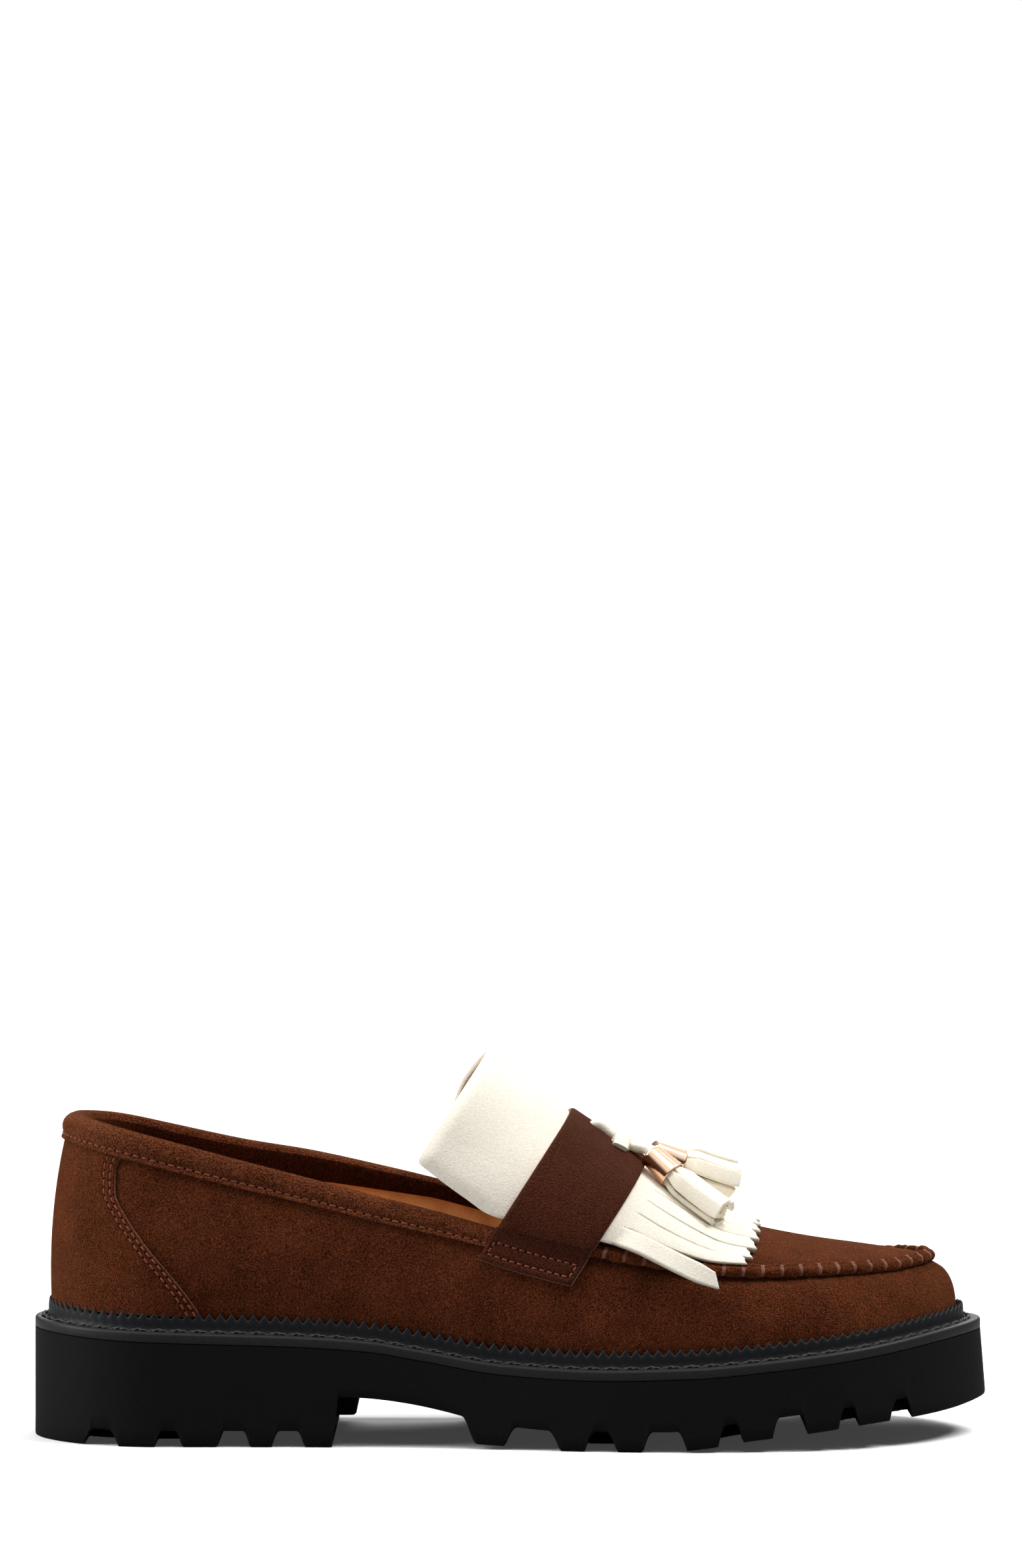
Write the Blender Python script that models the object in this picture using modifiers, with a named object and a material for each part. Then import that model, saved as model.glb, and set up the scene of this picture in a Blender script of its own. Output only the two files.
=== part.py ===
"""Right-foot tassel loafer with a fringed kiltie, on a lugged platform sole.

The shoe stands on z = 0 with its toe towards +X and its outer (lateral) side towards -Y.
All tables and sizes are in millimetres. Stations run along the shoe from the back of the heel.
"""

import bisect
import math

import bmesh
import bpy
import numpy as np
from mathutils import Matrix, Vector

MM = 0.001
GAP = 0.3
LATERAL, MEDIAL = -1, 1


class Sections:
    """Sizes at stations along the shoe, read as smooth curves that never overshoot their rows."""

    def __init__(self, columns, *rows):
        self.stations = [float(row[0]) for row in rows]
        self.sizes = {name: [float(row[i]) for row in rows] for i, name in enumerate(columns)}
        self.tangents = {name: self.slopes(sizes) for name, sizes in self.sizes.items()}

    def slopes(self, sizes):
        """Slope at each row: the harmonic mean of its neighbours, or flat where they turn."""
        steps = zip(self.stations, self.stations[1:], sizes, sizes[1:])
        slope = [(end - start) / (after - before) for before, after, start, end in steps]
        inside = [2 * a * b / (a + b) if a * b > 0 else 0.0 for a, b in zip(slope, slope[1:])]
        return [slope[0], *inside, slope[-1]]

    def at(self, column, x):
        sizes, tangent = self.sizes[column], self.tangents[column]
        i = min(max(bisect.bisect_left(self.stations, x) - 1, 0), len(sizes) - 2)
        width = self.stations[i + 1] - self.stations[i]
        t = min(max((x - self.stations[i]) / width, 0.0), 1.0)
        rise = (3 - 2 * t) * t * t
        bend = width * t * (1 - t) * (tangent[i] * (1 - t) - tangent[i + 1] * t)
        return sizes[i] * (1 - rise) + sizes[i + 1] * rise + bend


# Plan and height of the sole.
SOLE_LENGTH = 272.0
HEEL_ROUND, TOE_ROUND = 36.0, 50.0
END_ROUNDNESS = 2.15
PLAN = Sections(
    ("x", "lateral", "medial"),
    (0, -31, 31),
    (20, -34.5, 34),
    (40, -36, 35),
    (65, -36, 34.5),
    (90, -36.5, 33),
    (110, -38, 32.5),
    (130, -41, 33.5),
    (150, -44.8, 36.8),
    (170, -47.7, 41.5),
    (187, -48.6, 45.2),
    (205, -48, 47.4),
    (222, -45.6, 46.6),
    (245, -39.5, 44),
    (260, -34, 43),
    (272, -27, 37),
)
# Top of the sole's edge, where the welt ledge is.
LEDGE = Sections(
    ("x", "z"),
    (0, 33.9),
    (25, 32.6),
    (50, 31.8),
    (74, 31.1),
    (96, 29.7),
    (110, 27.5),
    (134, 23.8),
    (159, 22.7),
    (186, 23.4),
    (210, 25.5),
    (235, 28.4),
    (261, 32.0),
    (272, 32.9),
)
# Tread line: flat heel, breast, arch, and a forefoot that rises to the toe spring.
HEEL_BREAST, ARCH_BACK, ARCH_FRONT, FOREFOOT_BACK = 85.8, 87.6, 122.3, 126.4
FOREFOOT_FLAT = (148.0, 178.0)
TREAD = Sections(
    ("x", "z"),
    (0, 0),
    (HEEL_BREAST, 0),
    (ARCH_BACK, 14.0),
    (ARCH_FRONT, 9.1),
    (FOREFOOT_BACK, 1.4),
    (134, 1.0),
    (FOREFOOT_FLAT[0], 0),
    (FOREFOOT_FLAT[1], 0),
    (190, 1.0),
    (200, 2.7),
    (218, 4.8),
    (236, 7.0),
    (260, 9.1),
    (272, 11.0),
)
TREAD_EDGE = 1.2
BAND_THICKNESS, BAND_EDGE = 3.0, 0.8

# Tread grooves on both sides of the sole: the mouth is on the floor side, and the root is the flat inside.
GROOVE_COLUMNS = ("x", "mouth", "root", "depth", "across")
GROOVES = (
    (21.0, 9.6, 3.8, 4.5, False),
    (40.1, 7.6, 3.0, 4.5, False),
    (58.3, 9.0, 5.2, 4.5, True),
    (73.6, 9.0, 4.8, 4.5, True),
    (142.0, 15.2, 8.2, 5.6, True),
    (161.0, 8.9, 2.6, 5.6, False),
    (178.8, 12.1, 6.7, 5.6, True),
    (197.0, 6.8, 2.4, 5.6, False),
    (213.6, 9.7, 5.8, 5.6, True),
    (230.1, 5.6, 2.2, 5.6, False),
    (245.2, 6.3, 2.2, 5.6, False),
)
LUG_LENGTH = 19.0
# Oval channels that part the outer lugs from the middle of the tread.
CHANNEL_COLUMNS = ("x", "y", "half_length", "half_width")
CHANNELS = ((48.0, 0.0, 26.0, 15.0), (190.0, 0.5, 52.0, 26.0))
CHANNEL_WIDTH, CHANNEL_DEPTH = 5.0, 4.2

# Distances in from the sole's edge to what stands on it.
INSETS = Sections(("x", "band", "welt"), (0, 0, 3.8), (60, 0.1, 4.5), (200, 0.4, 4.7), (272, 1.4, 6.2))
WELT_THICKNESS, WELT_TOP_THICKNESS = 1.9, 1.2
WELT_VALLEY, WELT_TIP, TOOTH_PITCH = 3.6, 5.5, 3.1

# Upper: how the wall leans in from the feather line to its top edge, and how it swells on the way.
WALL_THICKNESS = 2.0
WALL = Sections(
    ("x", "lean_lateral", "lean_medial", "low_out", "low_up", "high_out", "high_down"),
    (5, 5.6, 5.6, 1.7, 0.33, 6.0, 0.33),
    (20, 3.6, 3.6, 2.0, 0.33, 4.2, 0.33),
    (40, 2.2, 2.2, 2.2, 0.33, 2.8, 0.33),
    (70, 1.5, 1.0, 1.9, 0.34, 1.8, 0.33),
    (100, 1.2, -0.5, 1.5, 0.35, 1.3, 0.33),
    (130, 2.0, -1.5, 1.5, 0.38, 1.8, 0.30),
    (150, 3.5, 1.0, 1.5, 0.42, 3.0, 0.27),
    (180, 5.2, 4.0, 1.5, 0.45, 4.5, 0.22),
    (215, 8.2, 7.5, 1.2, 0.50, 5.8, 0.19),
    (240, 9.3, 9.3, 1.0, 0.52, 6.2, 0.18),
    (264, 6.8, 6.8, 0.5, 0.54, 5.4, 0.17),
)
# Height of the top edge: the collar behind the throat, and the apron seam in front of it.
TOP_EDGE = Sections(
    ("x", "lateral", "medial"),
    (11, 91.8, 91.8),
    (21, 89.8, 90.2),
    (37, 86.0, 86.6),
    (59, 80.5, 81.7),
    (78, 76.2, 78.2),
    (96, 71.3, 74.4),
    (115, 66.3, 70.1),
    (133, 60.9, 65.0),
    (161, 54.8, 57.0),
    (177, 51.9, 53.8),
    (196, 49.6, 51.5),
    (214, 48.9, 50.8),
    (241, 48.9, 50.6),
    (250, 49.6, 50.8),
    (257, 50.9, 50.9),
)
# Middle line of the instep and apron, and the roundness of the arch there: 2 is an ellipse, 1 a parabola.
INSTEP = Sections(
    ("x", "ridge", "arch"),
    (100, 123.6, 2.0),
    (150, 90.5, 2.0),
    (185, 67.7, 1.5),
    (197, 61.2, 1.3),
    (208, 58.4, 1.15),
    (223, 55.6, 1.0),
    (239, 53.4, 1.0),
    (257, 50.9, 1.0),
)
THROAT = 146.0
# The collar has a folded binding, and the apron seam is a raised roll; both fade out under the strap.
EDGING = Sections(
    ("x", "depth", "raised"),
    (11, 6.6, 0.8),
    (128, 6.6, 0.8),
    (138, 5.0, 0),
    (154, 4.0, 0),
    (164, 3.6, 1.2),
    (257, 3.6, 1.2),
)
EDGING_STEP, EDGING_ROUND = 0.4, 1.0

# Heel counter: its front edge, by height above the ledge.
COUNTER_THICKNESS, COUNTER_LIFT, COUNTER_UNDER_BINDING = 0.9, 0.5, 1.0
COUNTER_EDGE = Sections(
    ("height", "x"), (6.2, 46.0), (15, 38.0), (25, 29.0), (31, 24.4), (36, 21.6), (42, 21.6), (48, 24.4)
)

# The strap and kiltie are rolled about a line that slopes down the instep; places along it are "axial".
INSTEP_SLOPE = math.radians(33.5)
STRAP_AXIAL = (76.7, 102.5)
STRAP_THICKNESS, STRAP_LIFT, STRAP_END = 1.6, 0.6, 1.30
KILTIE_THICKNESS, KILTIE_LIFT, KILTIE_RIDE = 1.6, 0.5, 0.8
KILTIE_TAIL, SLIT_START = 48.3, 106.0
KILTIE_EDGE = Sections(
    ("axial", "lateral", "medial"),
    (48, -0.83, 0.64),
    (64, -0.90, 0.78),
    (77, -0.95, 0.88),
    (106, -0.93, 0.92),
    (150, -0.93, 0.93),
)
STRIPS, SLIT = 13, 0.012
FRINGE_END, FRINGE_END_SIDE, FRINGE_SLANT = 207.0, 199.5, 1.8
STRAY_STRIP = Sections(
    ("along", "middle", "lift"), (0, -0.90, 0.3), (0.35, -0.99, 1.9), (0.6, -1.12, 2.2), (1, -1.33, 2.0)
)
STRAY_END = 195.0
STRAY_HALF_WIDTH = 0.075

# Tassels: each hangs from the tie by a turned metal bell, placed by its top and its foot.
BELL_LENGTH, BELL_TOP, BELL_FOOT, BELL_WALL = 8.4, 3.3, 3.9, 0.6
TASSEL_COLUMNS = ("name", "bell_top", "bell_foot", "fringe_end")
TASSELS = (
    ("lateral", (177.0, -8.5, 80.6), (183.2, -11.0, 76.1), (197.0, -21.0, 68.2)),
    ("medial", (178.0, 5.0, 81.6), (185.6, 8.5, 78.2), (201.6, 15.0, 71.2)),
)
FRINGE_ROOT, FRINGE_MIDDLE, FRINGE_TIP = 3.4, 4.6, 4.6
FRINGE_LOCKS, LOCK_DEPTH, LOCK_STEPS = 9, 0.2, 3
# Tie: a flat thong along the strap's ridge, a knot, and a strand to each bell.
THONG_SIZE, THONG_MIDDLE = (11.0, 4.6, 1.6), (163.0, -2.5, 88.6)
KNOT, KNOT_RADII = (167.6, -4.0, 86.0), (4.6, 4.4, 1.7)
STRAND_RADIUS, STRAND_CLEARANCE = 1.2, 0.9
INSOLE_THICKNESS = 3.0

RING_STEPS = 34
SUEDE_BROWN = ((0.075, 0.022, 0.009), 0.95, 0.0)
SUEDE_DARK = ((0.055, 0.018, 0.009), 0.95, 0.0)
SUEDE_CREAM = ((0.86, 0.80, 0.68), 0.95, 0.0)
LEATHER_TAN = ((0.25, 0.085, 0.03), 0.55, 0.0)
RUBBER_BLACK = ((0.006, 0.006, 0.006), 0.75, 0.0)
RUBBER_GREY = ((0.022, 0.022, 0.023), 0.5, 0.0)
RUBBER_WELT = ((0.010, 0.010, 0.010), 0.5, 0.0)
ROSE_GOLD = ((0.80, 0.52, 0.36), 0.15, 1.0)


# The last's surface.
def station(fraction):
    """Stations crowd towards both ends, where the plan turns round."""
    return SOLE_LENGTH * (1 - math.cos(math.pi * fraction)) / 2


def fraction_at(x):
    return math.acos(1 - 2 * x / SOLE_LENGTH) / math.pi


def side_of(turn):
    return LATERAL if turn % 2 <= 1 else MEDIAL


def sole_edge(turn):
    """Sole's edge as (x, y): turn runs 0 to 1 along the lateral side, 1 to 2 back along the medial one."""
    turn = turn % 2
    x = station(min(turn, 2 - turn))
    lateral, medial = PLAN.at("lateral", x), PLAN.at("medial", x)
    into_end = max(1 - x / HEEL_ROUND, 1 - (SOLE_LENGTH - x) / TOE_ROUND, 0)
    rounding = max(1 - into_end**END_ROUNDNESS, 0) ** (1 / END_ROUNDNESS)
    return np.array([x, (lateral + medial) / 2 + side_of(turn) * (medial - lateral) / 2 * rounding])


def inward(turn, step=1e-3):
    along = sole_edge(turn + step) - sole_edge(turn - step)
    along /= np.linalg.norm(along)
    return np.array([-along[1], along[0]])


def inset_edge(turn, distance):
    return sole_edge(turn) + distance * inward(turn)


def ledge_point(turn, distance, above):
    """A point in from the sole's edge, at a height over the welt ledge."""
    x, y = inset_edge(turn, distance)
    return np.array([x, y, LEDGE.at("z", x) + above])


def welt_inset(turn):
    return INSETS.at("welt", sole_edge(turn)[0])


def feather(turn):
    """Where the upper meets the sole."""
    return ledge_point(turn, welt_inset(turn) + WELT_THICKNESS + GAP, GAP)


def top_edge(turn):
    """Top of the upper's wall: collar behind the throat, apron seam in front of it."""
    x = feather(turn)[0]
    name = "lateral" if side_of(turn) == LATERAL else "medial"
    distance = welt_inset(turn) + WELT_THICKNESS + GAP + WALL.at("lean_" + name, x)
    x, y = inset_edge(turn, distance)
    return np.array([x, y, TOP_EDGE.at(name, x)])


def wall(turn, rise):
    """Outside of the wall, from the feather line (rise 0) to the top edge (rise 1)."""
    foot, top = feather(turn), top_edge(turn)
    outward = np.append(-inward(turn), 0)
    height = np.array([0, 0, top[2] - foot[2]])
    x = foot[0]
    low = foot + outward * WALL.at("low_out", x) + height * WALL.at("low_up", x)
    high = top + outward * WALL.at("high_out", x) - height * WALL.at("high_down", x)
    r, s = rise, 1 - rise
    return foot * s**3 + low * 3 * s * s * r + high * 3 * s * r * r + top * r**3


def apron(fraction, across):
    """Instep and apron, arched from the lateral top edge (-1) to the medial one (+1)."""
    near, far = top_edge(fraction), top_edge(2 - fraction)
    angle = across * math.pi / 2
    point = (near + far) / 2 + (far - near) / 2 * math.sin(angle)
    x = point[0]
    arch = max(math.cos(angle), 0) ** (2 / INSTEP.at("arch", x))
    point[2] += max(INSTEP.at("ridge", x) - (near[2] + far[2]) / 2, 0) * arch
    return point


def skin(fraction, girth):
    """Upper's surface: girth -2 to -1 is the lateral wall, -1 to 1 the apron, 1 to 2 the medial wall."""
    if girth < -1:
        return wall(fraction, 2 + girth)
    if girth > 1:
        return wall(2 - fraction, 2 - girth)
    return apron(fraction, girth)


def skin_at_axial(axial, girth):
    """Point of the skin at a place along the sloping line of the instep."""
    low, high = fraction_at(60), fraction_at(240)
    for _ in range(30):
        middle = (low + high) / 2
        point = skin(middle, girth)
        if point[0] * math.cos(INSTEP_SLOPE) - point[2] * math.sin(INSTEP_SLOPE) < axial:
            low = middle
        else:
            high = middle
    return point


# Building in Blender.
def clear_scene():
    for item in list(bpy.data.objects):
        bpy.data.objects.remove(item)


def new_collection(name):
    collection = bpy.data.collections.new(name)
    bpy.context.scene.collection.children.link(collection)
    return collection


def material(name, finish):
    found = bpy.data.materials.get(name)
    if found:
        return found
    colour, roughness, metallic = finish
    made = bpy.data.materials.new(name)
    made.use_nodes = True
    shader = made.node_tree.nodes["Principled BSDF"]
    shader.inputs["Base Color"].default_value = (*colour, 1)
    shader.inputs["Roughness"].default_value = roughness
    shader.inputs["Metallic"].default_value = metallic
    return made


def to_part_frame(point):
    """From stations to the part's own frame, with its origin under the middle of the sole."""
    return Vector(((point[0] - SOLE_LENGTH / 2) * MM, (point[1] - MIDDLE_Y) * MM, point[2] * MM))


def mesh_object(name, points, faces, collection, finish=None, finish_name="", closed=True):
    mesh = bpy.data.meshes.new(name)
    mesh.from_pydata([to_part_frame(p) for p in points], [], faces)
    if closed:
        work = bmesh.new()
        work.from_mesh(mesh)
        bmesh.ops.recalc_face_normals(work, faces=work.faces)
        work.to_mesh(mesh)
        work.free()
    return add_object(name, mesh, collection, finish, finish_name)


def add_object(name, mesh, collection, finish=None, finish_name=""):
    made = bpy.data.objects.new(name, mesh)
    collection.objects.link(made)
    if finish:
        mesh.materials.append(material(finish_name, finish))
        mesh.shade_smooth()
        mesh.set_sharp_from_angle(angle=math.radians(35))
    return made


def as_cutter(made):
    made.hide_render = True
    made.display_type = "WIRE"
    return made


def boolean(target, other, operation):
    change = target.modifiers.new(operation.lower() + "_" + other.name, "BOOLEAN")
    change.operation = operation
    change.object = other
    change.solver = "EXACT"


def ring_faces(rings, count):
    """Quads between neighbouring closed rings of points, each ring with count points."""
    return [
        (r * count + i, r * count + (i + 1) % count, (r + 1) * count + (i + 1) % count, (r + 1) * count + i)
        for r in range(rings - 1)
        for i in range(count)
    ]


def cap_faces(first, count):
    """Closes a ring that runs heel, lateral side, toe, medial side, by strips from side to side."""
    half = count // 2
    last = first + count
    strips = [(first + i, first + i + 1, last - i - 1, last - i) for i in range(1, half - 1)]
    ends = [(first, first + 1, first + count - 1), (first + half - 1, first + half, first + half + 1)]
    return strips + ends


def plate(name, rings, collection, finish, finish_name):
    """Closed solid through stacked rings around the shoe, capped at its bottom and top."""
    count = len(rings[0])
    points = [p for ring in rings for p in ring]
    faces = ring_faces(len(rings), count) + cap_faces(0, count) + cap_faces(count * (len(rings) - 1), count)
    return mesh_object(name, points, faces, collection, finish, finish_name)


def raised_surface(points, faces, lifts):
    """Points of an open surface, each moved along the surface's own normal."""
    work = bmesh.new()
    verts = [work.verts.new(Vector(p)) for p in points]
    for face in faces:
        work.faces.new([verts[i] for i in face])
    work.normal_update()
    lifted = [np.array(v.co + v.normal * v.calc_shell_factor() * lift) for v, lift in zip(verts, lifts)]
    work.free()
    return lifted


def sheet(name, points, faces, thickness, outward, collection, finish, finish_name):
    """Open surface made solid by Solidify, growing outwards from it or inwards."""
    made = mesh_object(name, points, faces, collection, finish, finish_name, closed=False)
    solid = made.modifiers.new("thickness", "SOLIDIFY")
    solid.thickness = thickness * MM
    solid.offset = 1 if outward else -1
    solid.use_even_offset = True
    return made


def grid_faces(rows, columns):
    return [
        (r * columns + c, (r + 1) * columns + c, (r + 1) * columns + c + 1, r * columns + c + 1)
        for r in range(rows - 1)
        for c in range(columns - 1)
    ]


def bar_mesh(name, points, radius):
    """Round bar along a few points, made from a bevelled curve."""
    curve = bpy.data.curves.new(name, "CURVE")
    curve.dimensions = "3D"
    curve.bevel_depth = radius * MM
    curve.bevel_resolution = 2
    curve.use_fill_caps = True
    spline = curve.splines.new("POLY")
    spline.points.add(len(points) - 1)
    for target, point in zip(spline.points, points):
        target.co = (*to_part_frame(point), 1)
    helper = bpy.data.objects.new(name, curve)
    bpy.context.scene.collection.objects.link(helper)
    graph = bpy.context.evaluated_depsgraph_get()
    mesh = bpy.data.meshes.new_from_object(helper.evaluated_get(graph))
    bpy.data.objects.remove(helper)
    work = bmesh.new()
    work.from_mesh(mesh)
    bmesh.ops.remove_doubles(work, verts=work.verts, dist=1e-6)
    bmesh.ops.recalc_face_normals(work, faces=work.faces)
    work.to_mesh(mesh)
    work.free()
    return mesh


# Sole.
def sole_turns(extra):
    """Turns round the sole, with the extra stations put in on both sides."""
    stations = [station(i / RING_STEPS) for i in range(RING_STEPS + 1)]
    kept = [x for x in stations if all(abs(x - e) > 1.5 for e in extra)]
    lateral = [fraction_at(x) for x in sorted(kept + list(extra))]
    return lateral + [2 - f for f in reversed(lateral[1:-1])]


def tread_point(turn, distance, above):
    x, y = inset_edge(turn, distance)
    return np.array([x, y, TREAD.at("z", sole_edge(turn)[0]) + above])


def make_outsole(collection, cutters):
    turns = sole_turns((HEEL_BREAST, ARCH_BACK, ARCH_FRONT, FOREFOOT_BACK, *FOREFOOT_FLAT))
    bottom = [tread_point(t, TREAD_EDGE, 0) for t in turns]
    edge = [tread_point(t, 0, TREAD_EDGE) for t in turns]
    top = [ledge_point(t, INSETS.at("band", sole_edge(t)[0]), -BAND_THICKNESS - GAP) for t in turns]
    outsole = plate("outsole", [bottom, edge, top], collection, RUBBER_BLACK, "black_rubber")
    for cutter in (make_groove_cutter(cutters), make_channel_cutter(cutters)):
        boolean(outsole, cutter, "DIFFERENCE")
    return outsole


def make_groove_cutter(cutters):
    """Trapezoid bars across the tread: whole ones, or one from each side as long as a lug."""
    points, faces = [], []
    below, outside = 3.0, 8.0
    for row in GROOVES:
        groove = dict(zip(GROOVE_COLUMNS, row))
        x, mouth, root = groove["x"], groove["mouth"] / 2, groove["root"] / 2
        floor = TREAD.at("z", x)
        flare = (mouth - root) / groove["depth"]
        profile = [
            (x - mouth - flare * below, floor - below),
            (x - root, floor + groove["depth"]),
            (x + root, floor + groove["depth"]),
            (x + mouth + flare * below, floor - below),
        ]
        lateral, medial = (sole_edge(t)[1] for t in (fraction_at(x), 2 - fraction_at(x)))
        if groove["across"]:
            spans = [(lateral - outside, medial + outside)]
        else:
            spans = [(lateral - outside, lateral + LUG_LENGTH), (medial - LUG_LENGTH, medial + outside)]
        for start, end in spans:
            first = len(points)
            points += [(px, y, pz) for y in (start, end) for px, pz in profile]
            faces += [(first, first + 1, first + 2, first + 3), (first + 7, first + 6, first + 5, first + 4)]
            for i, j in ((0, 1), (1, 2), (2, 3), (3, 0)):
                faces.append((first + i, first + 4 + i, first + 4 + j, first + j))
    return as_cutter(mesh_object("groove_cutter", points, faces, cutters))


def make_channel_cutter(cutters):
    """Oval rings, cut up into the tread."""
    steps, below = 28, 3.0
    points, faces = [], []
    for row in CHANNELS:
        channel = dict(zip(CHANNEL_COLUMNS, row))
        first = len(points)
        for width, deep in ((0, False), (0, True), (CHANNEL_WIDTH, True), (CHANNEL_WIDTH, False)):
            for i in range(steps):
                angle = 2 * math.pi * i / steps
                x = channel["x"] + (channel["half_length"] - width) * math.cos(angle)
                y = channel["y"] + (channel["half_width"] - width) * math.sin(angle)
                floor = TREAD.at("z", x)
                points.append((x, y, floor + CHANNEL_DEPTH if deep else floor - below))
        faces += [tuple(first + i for i in face) for face in ring_faces(4, steps)]
        mouth = first + 3 * steps
        for i in range(steps):
            after = (i + 1) % steps
            faces.append((first + i, first + after, mouth + after, mouth + i))
    return as_cutter(mesh_object("channel_cutter", points, faces, cutters))


def make_midsole(collection):
    turns = sole_turns(())
    insets = [INSETS.at("band", sole_edge(t)[0]) for t in turns]
    bottom = [ledge_point(t, i, -BAND_THICKNESS) for t, i in zip(turns, insets)]
    edge = [ledge_point(t, i, -BAND_EDGE) for t, i in zip(turns, insets)]
    top = [ledge_point(t, i + BAND_EDGE, 0) for t, i in zip(turns, insets)]
    return plate("midsole", [bottom, edge, top], collection, RUBBER_GREY, "grey_rubber")


def make_storm_welt(collection):
    """Rubber strip round the foot of the upper, with its top edge cut into teeth."""
    samples = np.linspace(0, 2, 1201)
    path = np.array([inset_edge(t, welt_inset(t)) for t in samples])
    length = np.r_[0, np.cumsum(np.linalg.norm(np.diff(path, axis=0), axis=1))]
    teeth = round(length[-1] / TOOTH_PITCH)
    turns = np.interp(np.arange(2 * teeth) * length[-1] / (2 * teeth), length, samples)
    rings = [[], [], [], []]
    for i, turn in enumerate(turns):
        outer = welt_inset(turn)
        inner = outer + WELT_THICKNESS
        top = WELT_TIP if i % 2 else WELT_VALLEY
        rings[0].append(ledge_point(turn, inner, GAP))
        rings[1].append(ledge_point(turn, outer, GAP))
        rings[2].append(ledge_point(turn, outer, top))
        rings[3].append(ledge_point(turn, outer + WELT_TOP_THICKNESS, top))
    count = 2 * teeth
    points = [p for ring in rings for p in ring]
    closing = [(3 * count + i, 3 * count + (i + 1) % count, (i + 1) % count, i) for i in range(count)]
    faces = ring_faces(len(rings), count) + closing
    return mesh_object("storm_welt", points, faces, collection, RUBBER_WELT, "welt_rubber")


def make_insole(collection):
    turns = sole_turns(())
    insets = [welt_inset(t) + WELT_THICKNESS + GAP + WALL_THICKNESS + 2 * GAP for t in turns]
    heights = (GAP, GAP + INSOLE_THICKNESS)
    rings = [[ledge_point(t, i, above) for t, i in zip(turns, insets)] for above in heights]
    return plate("insole", rings, collection, LEATHER_TAN, "tan_leather")


# Upper.
def upper_fractions():
    """Even fractions from heel to toe, with the one nearest the throat moved onto it."""
    fractions = [i / RING_STEPS for i in range(RING_STEPS + 1)]
    at_throat = min(range(len(fractions)), key=lambda i: abs(fractions[i] - fraction_at(THROAT)))
    fractions[at_throat] = fraction_at(THROAT)
    return fractions, at_throat


def make_upper(collection):
    fractions, at_throat = upper_fractions()
    turns = fractions + [2 - f for f in reversed(fractions[1:-1])]
    count = len(turns)
    low_rises = (0, 0.17, 0.36, 0.56)
    points, raised = [], []
    rows = len(low_rises) + 4
    for row in range(rows):
        for turn in turns:
            top = top_edge(turn)
            length = top[2] - feather(turn)[2]
            depth, lift = EDGING.at("depth", top[0]), EDGING.at("raised", top[0])
            edging = ((depth, 0), (depth - EDGING_STEP, lift), (EDGING_ROUND, lift), (0, lift * 0.5))
            if row < len(low_rises):
                rise, out = low_rises[row] * (1 - depth / length) / 0.8, 0
            else:
                below, out = edging[row - len(low_rises)]
                rise = 1 - below / length
            points.append(wall(turn, rise))
            raised.append(out)
    faces = ring_faces(rows, count)
    top_row = (rows - 1) * count
    across = 10
    previous = None
    for i in range(at_throat, len(fractions)):
        ends = top_row + i, top_row + (count - i) % count
        if i == len(fractions) - 1:
            line = [ends[0]] * (across + 1)
        else:
            line = [ends[0], *range(len(points), len(points) + across - 1), ends[1]]
            points += [apron(fractions[i], -1 + 2 * k / across) for k in range(1, across)]
            raised += [0] * (across - 1)
        if previous:
            for k in range(across):
                corners = (previous[k], line[k], line[k + 1], previous[k + 1])
                faces.append(tuple(dict.fromkeys(corners)))
        previous = line
    points = raised_surface(points, faces, raised)
    return sheet("upper", points, faces, WALL_THICKNESS, False, collection, SUEDE_BROWN, "brown_suede")


def make_heel_counter(collection):
    """Overlay round the back of the heel, under the collar's binding and above the welt."""
    rows, columns = 7, 19
    points = []
    for r in range(rows):
        for c in range(columns):
            side = 1 - 2 * c / (columns - 1)
            points.append(counter_point(side, r / (rows - 1)))
    faces = grid_faces(rows, columns)
    points = raised_surface(points, faces, [COUNTER_LIFT] * len(points))
    finish = SUEDE_BROWN, "brown_suede"
    return sheet("heel_counter", points, faces, COUNTER_THICKNESS, True, collection, *finish)


def counter_point(side, up):
    """Point of the wall behind the counter's front edge: side runs from the medial edge to the lateral."""
    low, high = COUNTER_EDGE.stations[0], COUNTER_EDGE.stations[-1]
    turn = side * fraction_at(COUNTER_EDGE.at("x", low + up * (high - low)))
    top = top_edge(turn)
    length = top[2] - feather(turn)[2]
    start = low / length
    end = 1 - (EDGING.at("depth", top[0]) + COUNTER_UNDER_BINDING) / length
    return wall(turn, start + (end - start) * up)


# Strap, kiltie and tassels.
def make_strap(collection):
    rows, columns = 5, 35
    points, lifts = [], []
    for r in range(rows):
        axial = STRAP_AXIAL[0] + (STRAP_AXIAL[1] - STRAP_AXIAL[0]) * r / (rows - 1)
        for c in range(columns):
            girth = STRAP_END * (-1 + 2 * c / (columns - 1))
            points.append(skin_at_axial(axial, girth))
            lifts.append(strap_lift(girth))
    faces = grid_faces(rows, columns)
    points = raised_surface(points, faces, lifts)
    return sheet("strap", points, faces, STRAP_THICKNESS, True, collection, SUEDE_DARK, "dark_suede")


def strap_lift(girth):
    """The strap lies on the upper at its ends and on the kiltie over the instep."""
    over_kiltie = kiltie_lift(girth) + KILTIE_THICKNESS + GAP
    start, full = 1.16, 0.98
    share = min(max((start - abs(girth)) / (start - full), 0), 1)
    return STRAP_LIFT + (over_kiltie - STRAP_LIFT) * share * share * (3 - 2 * share)


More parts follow.
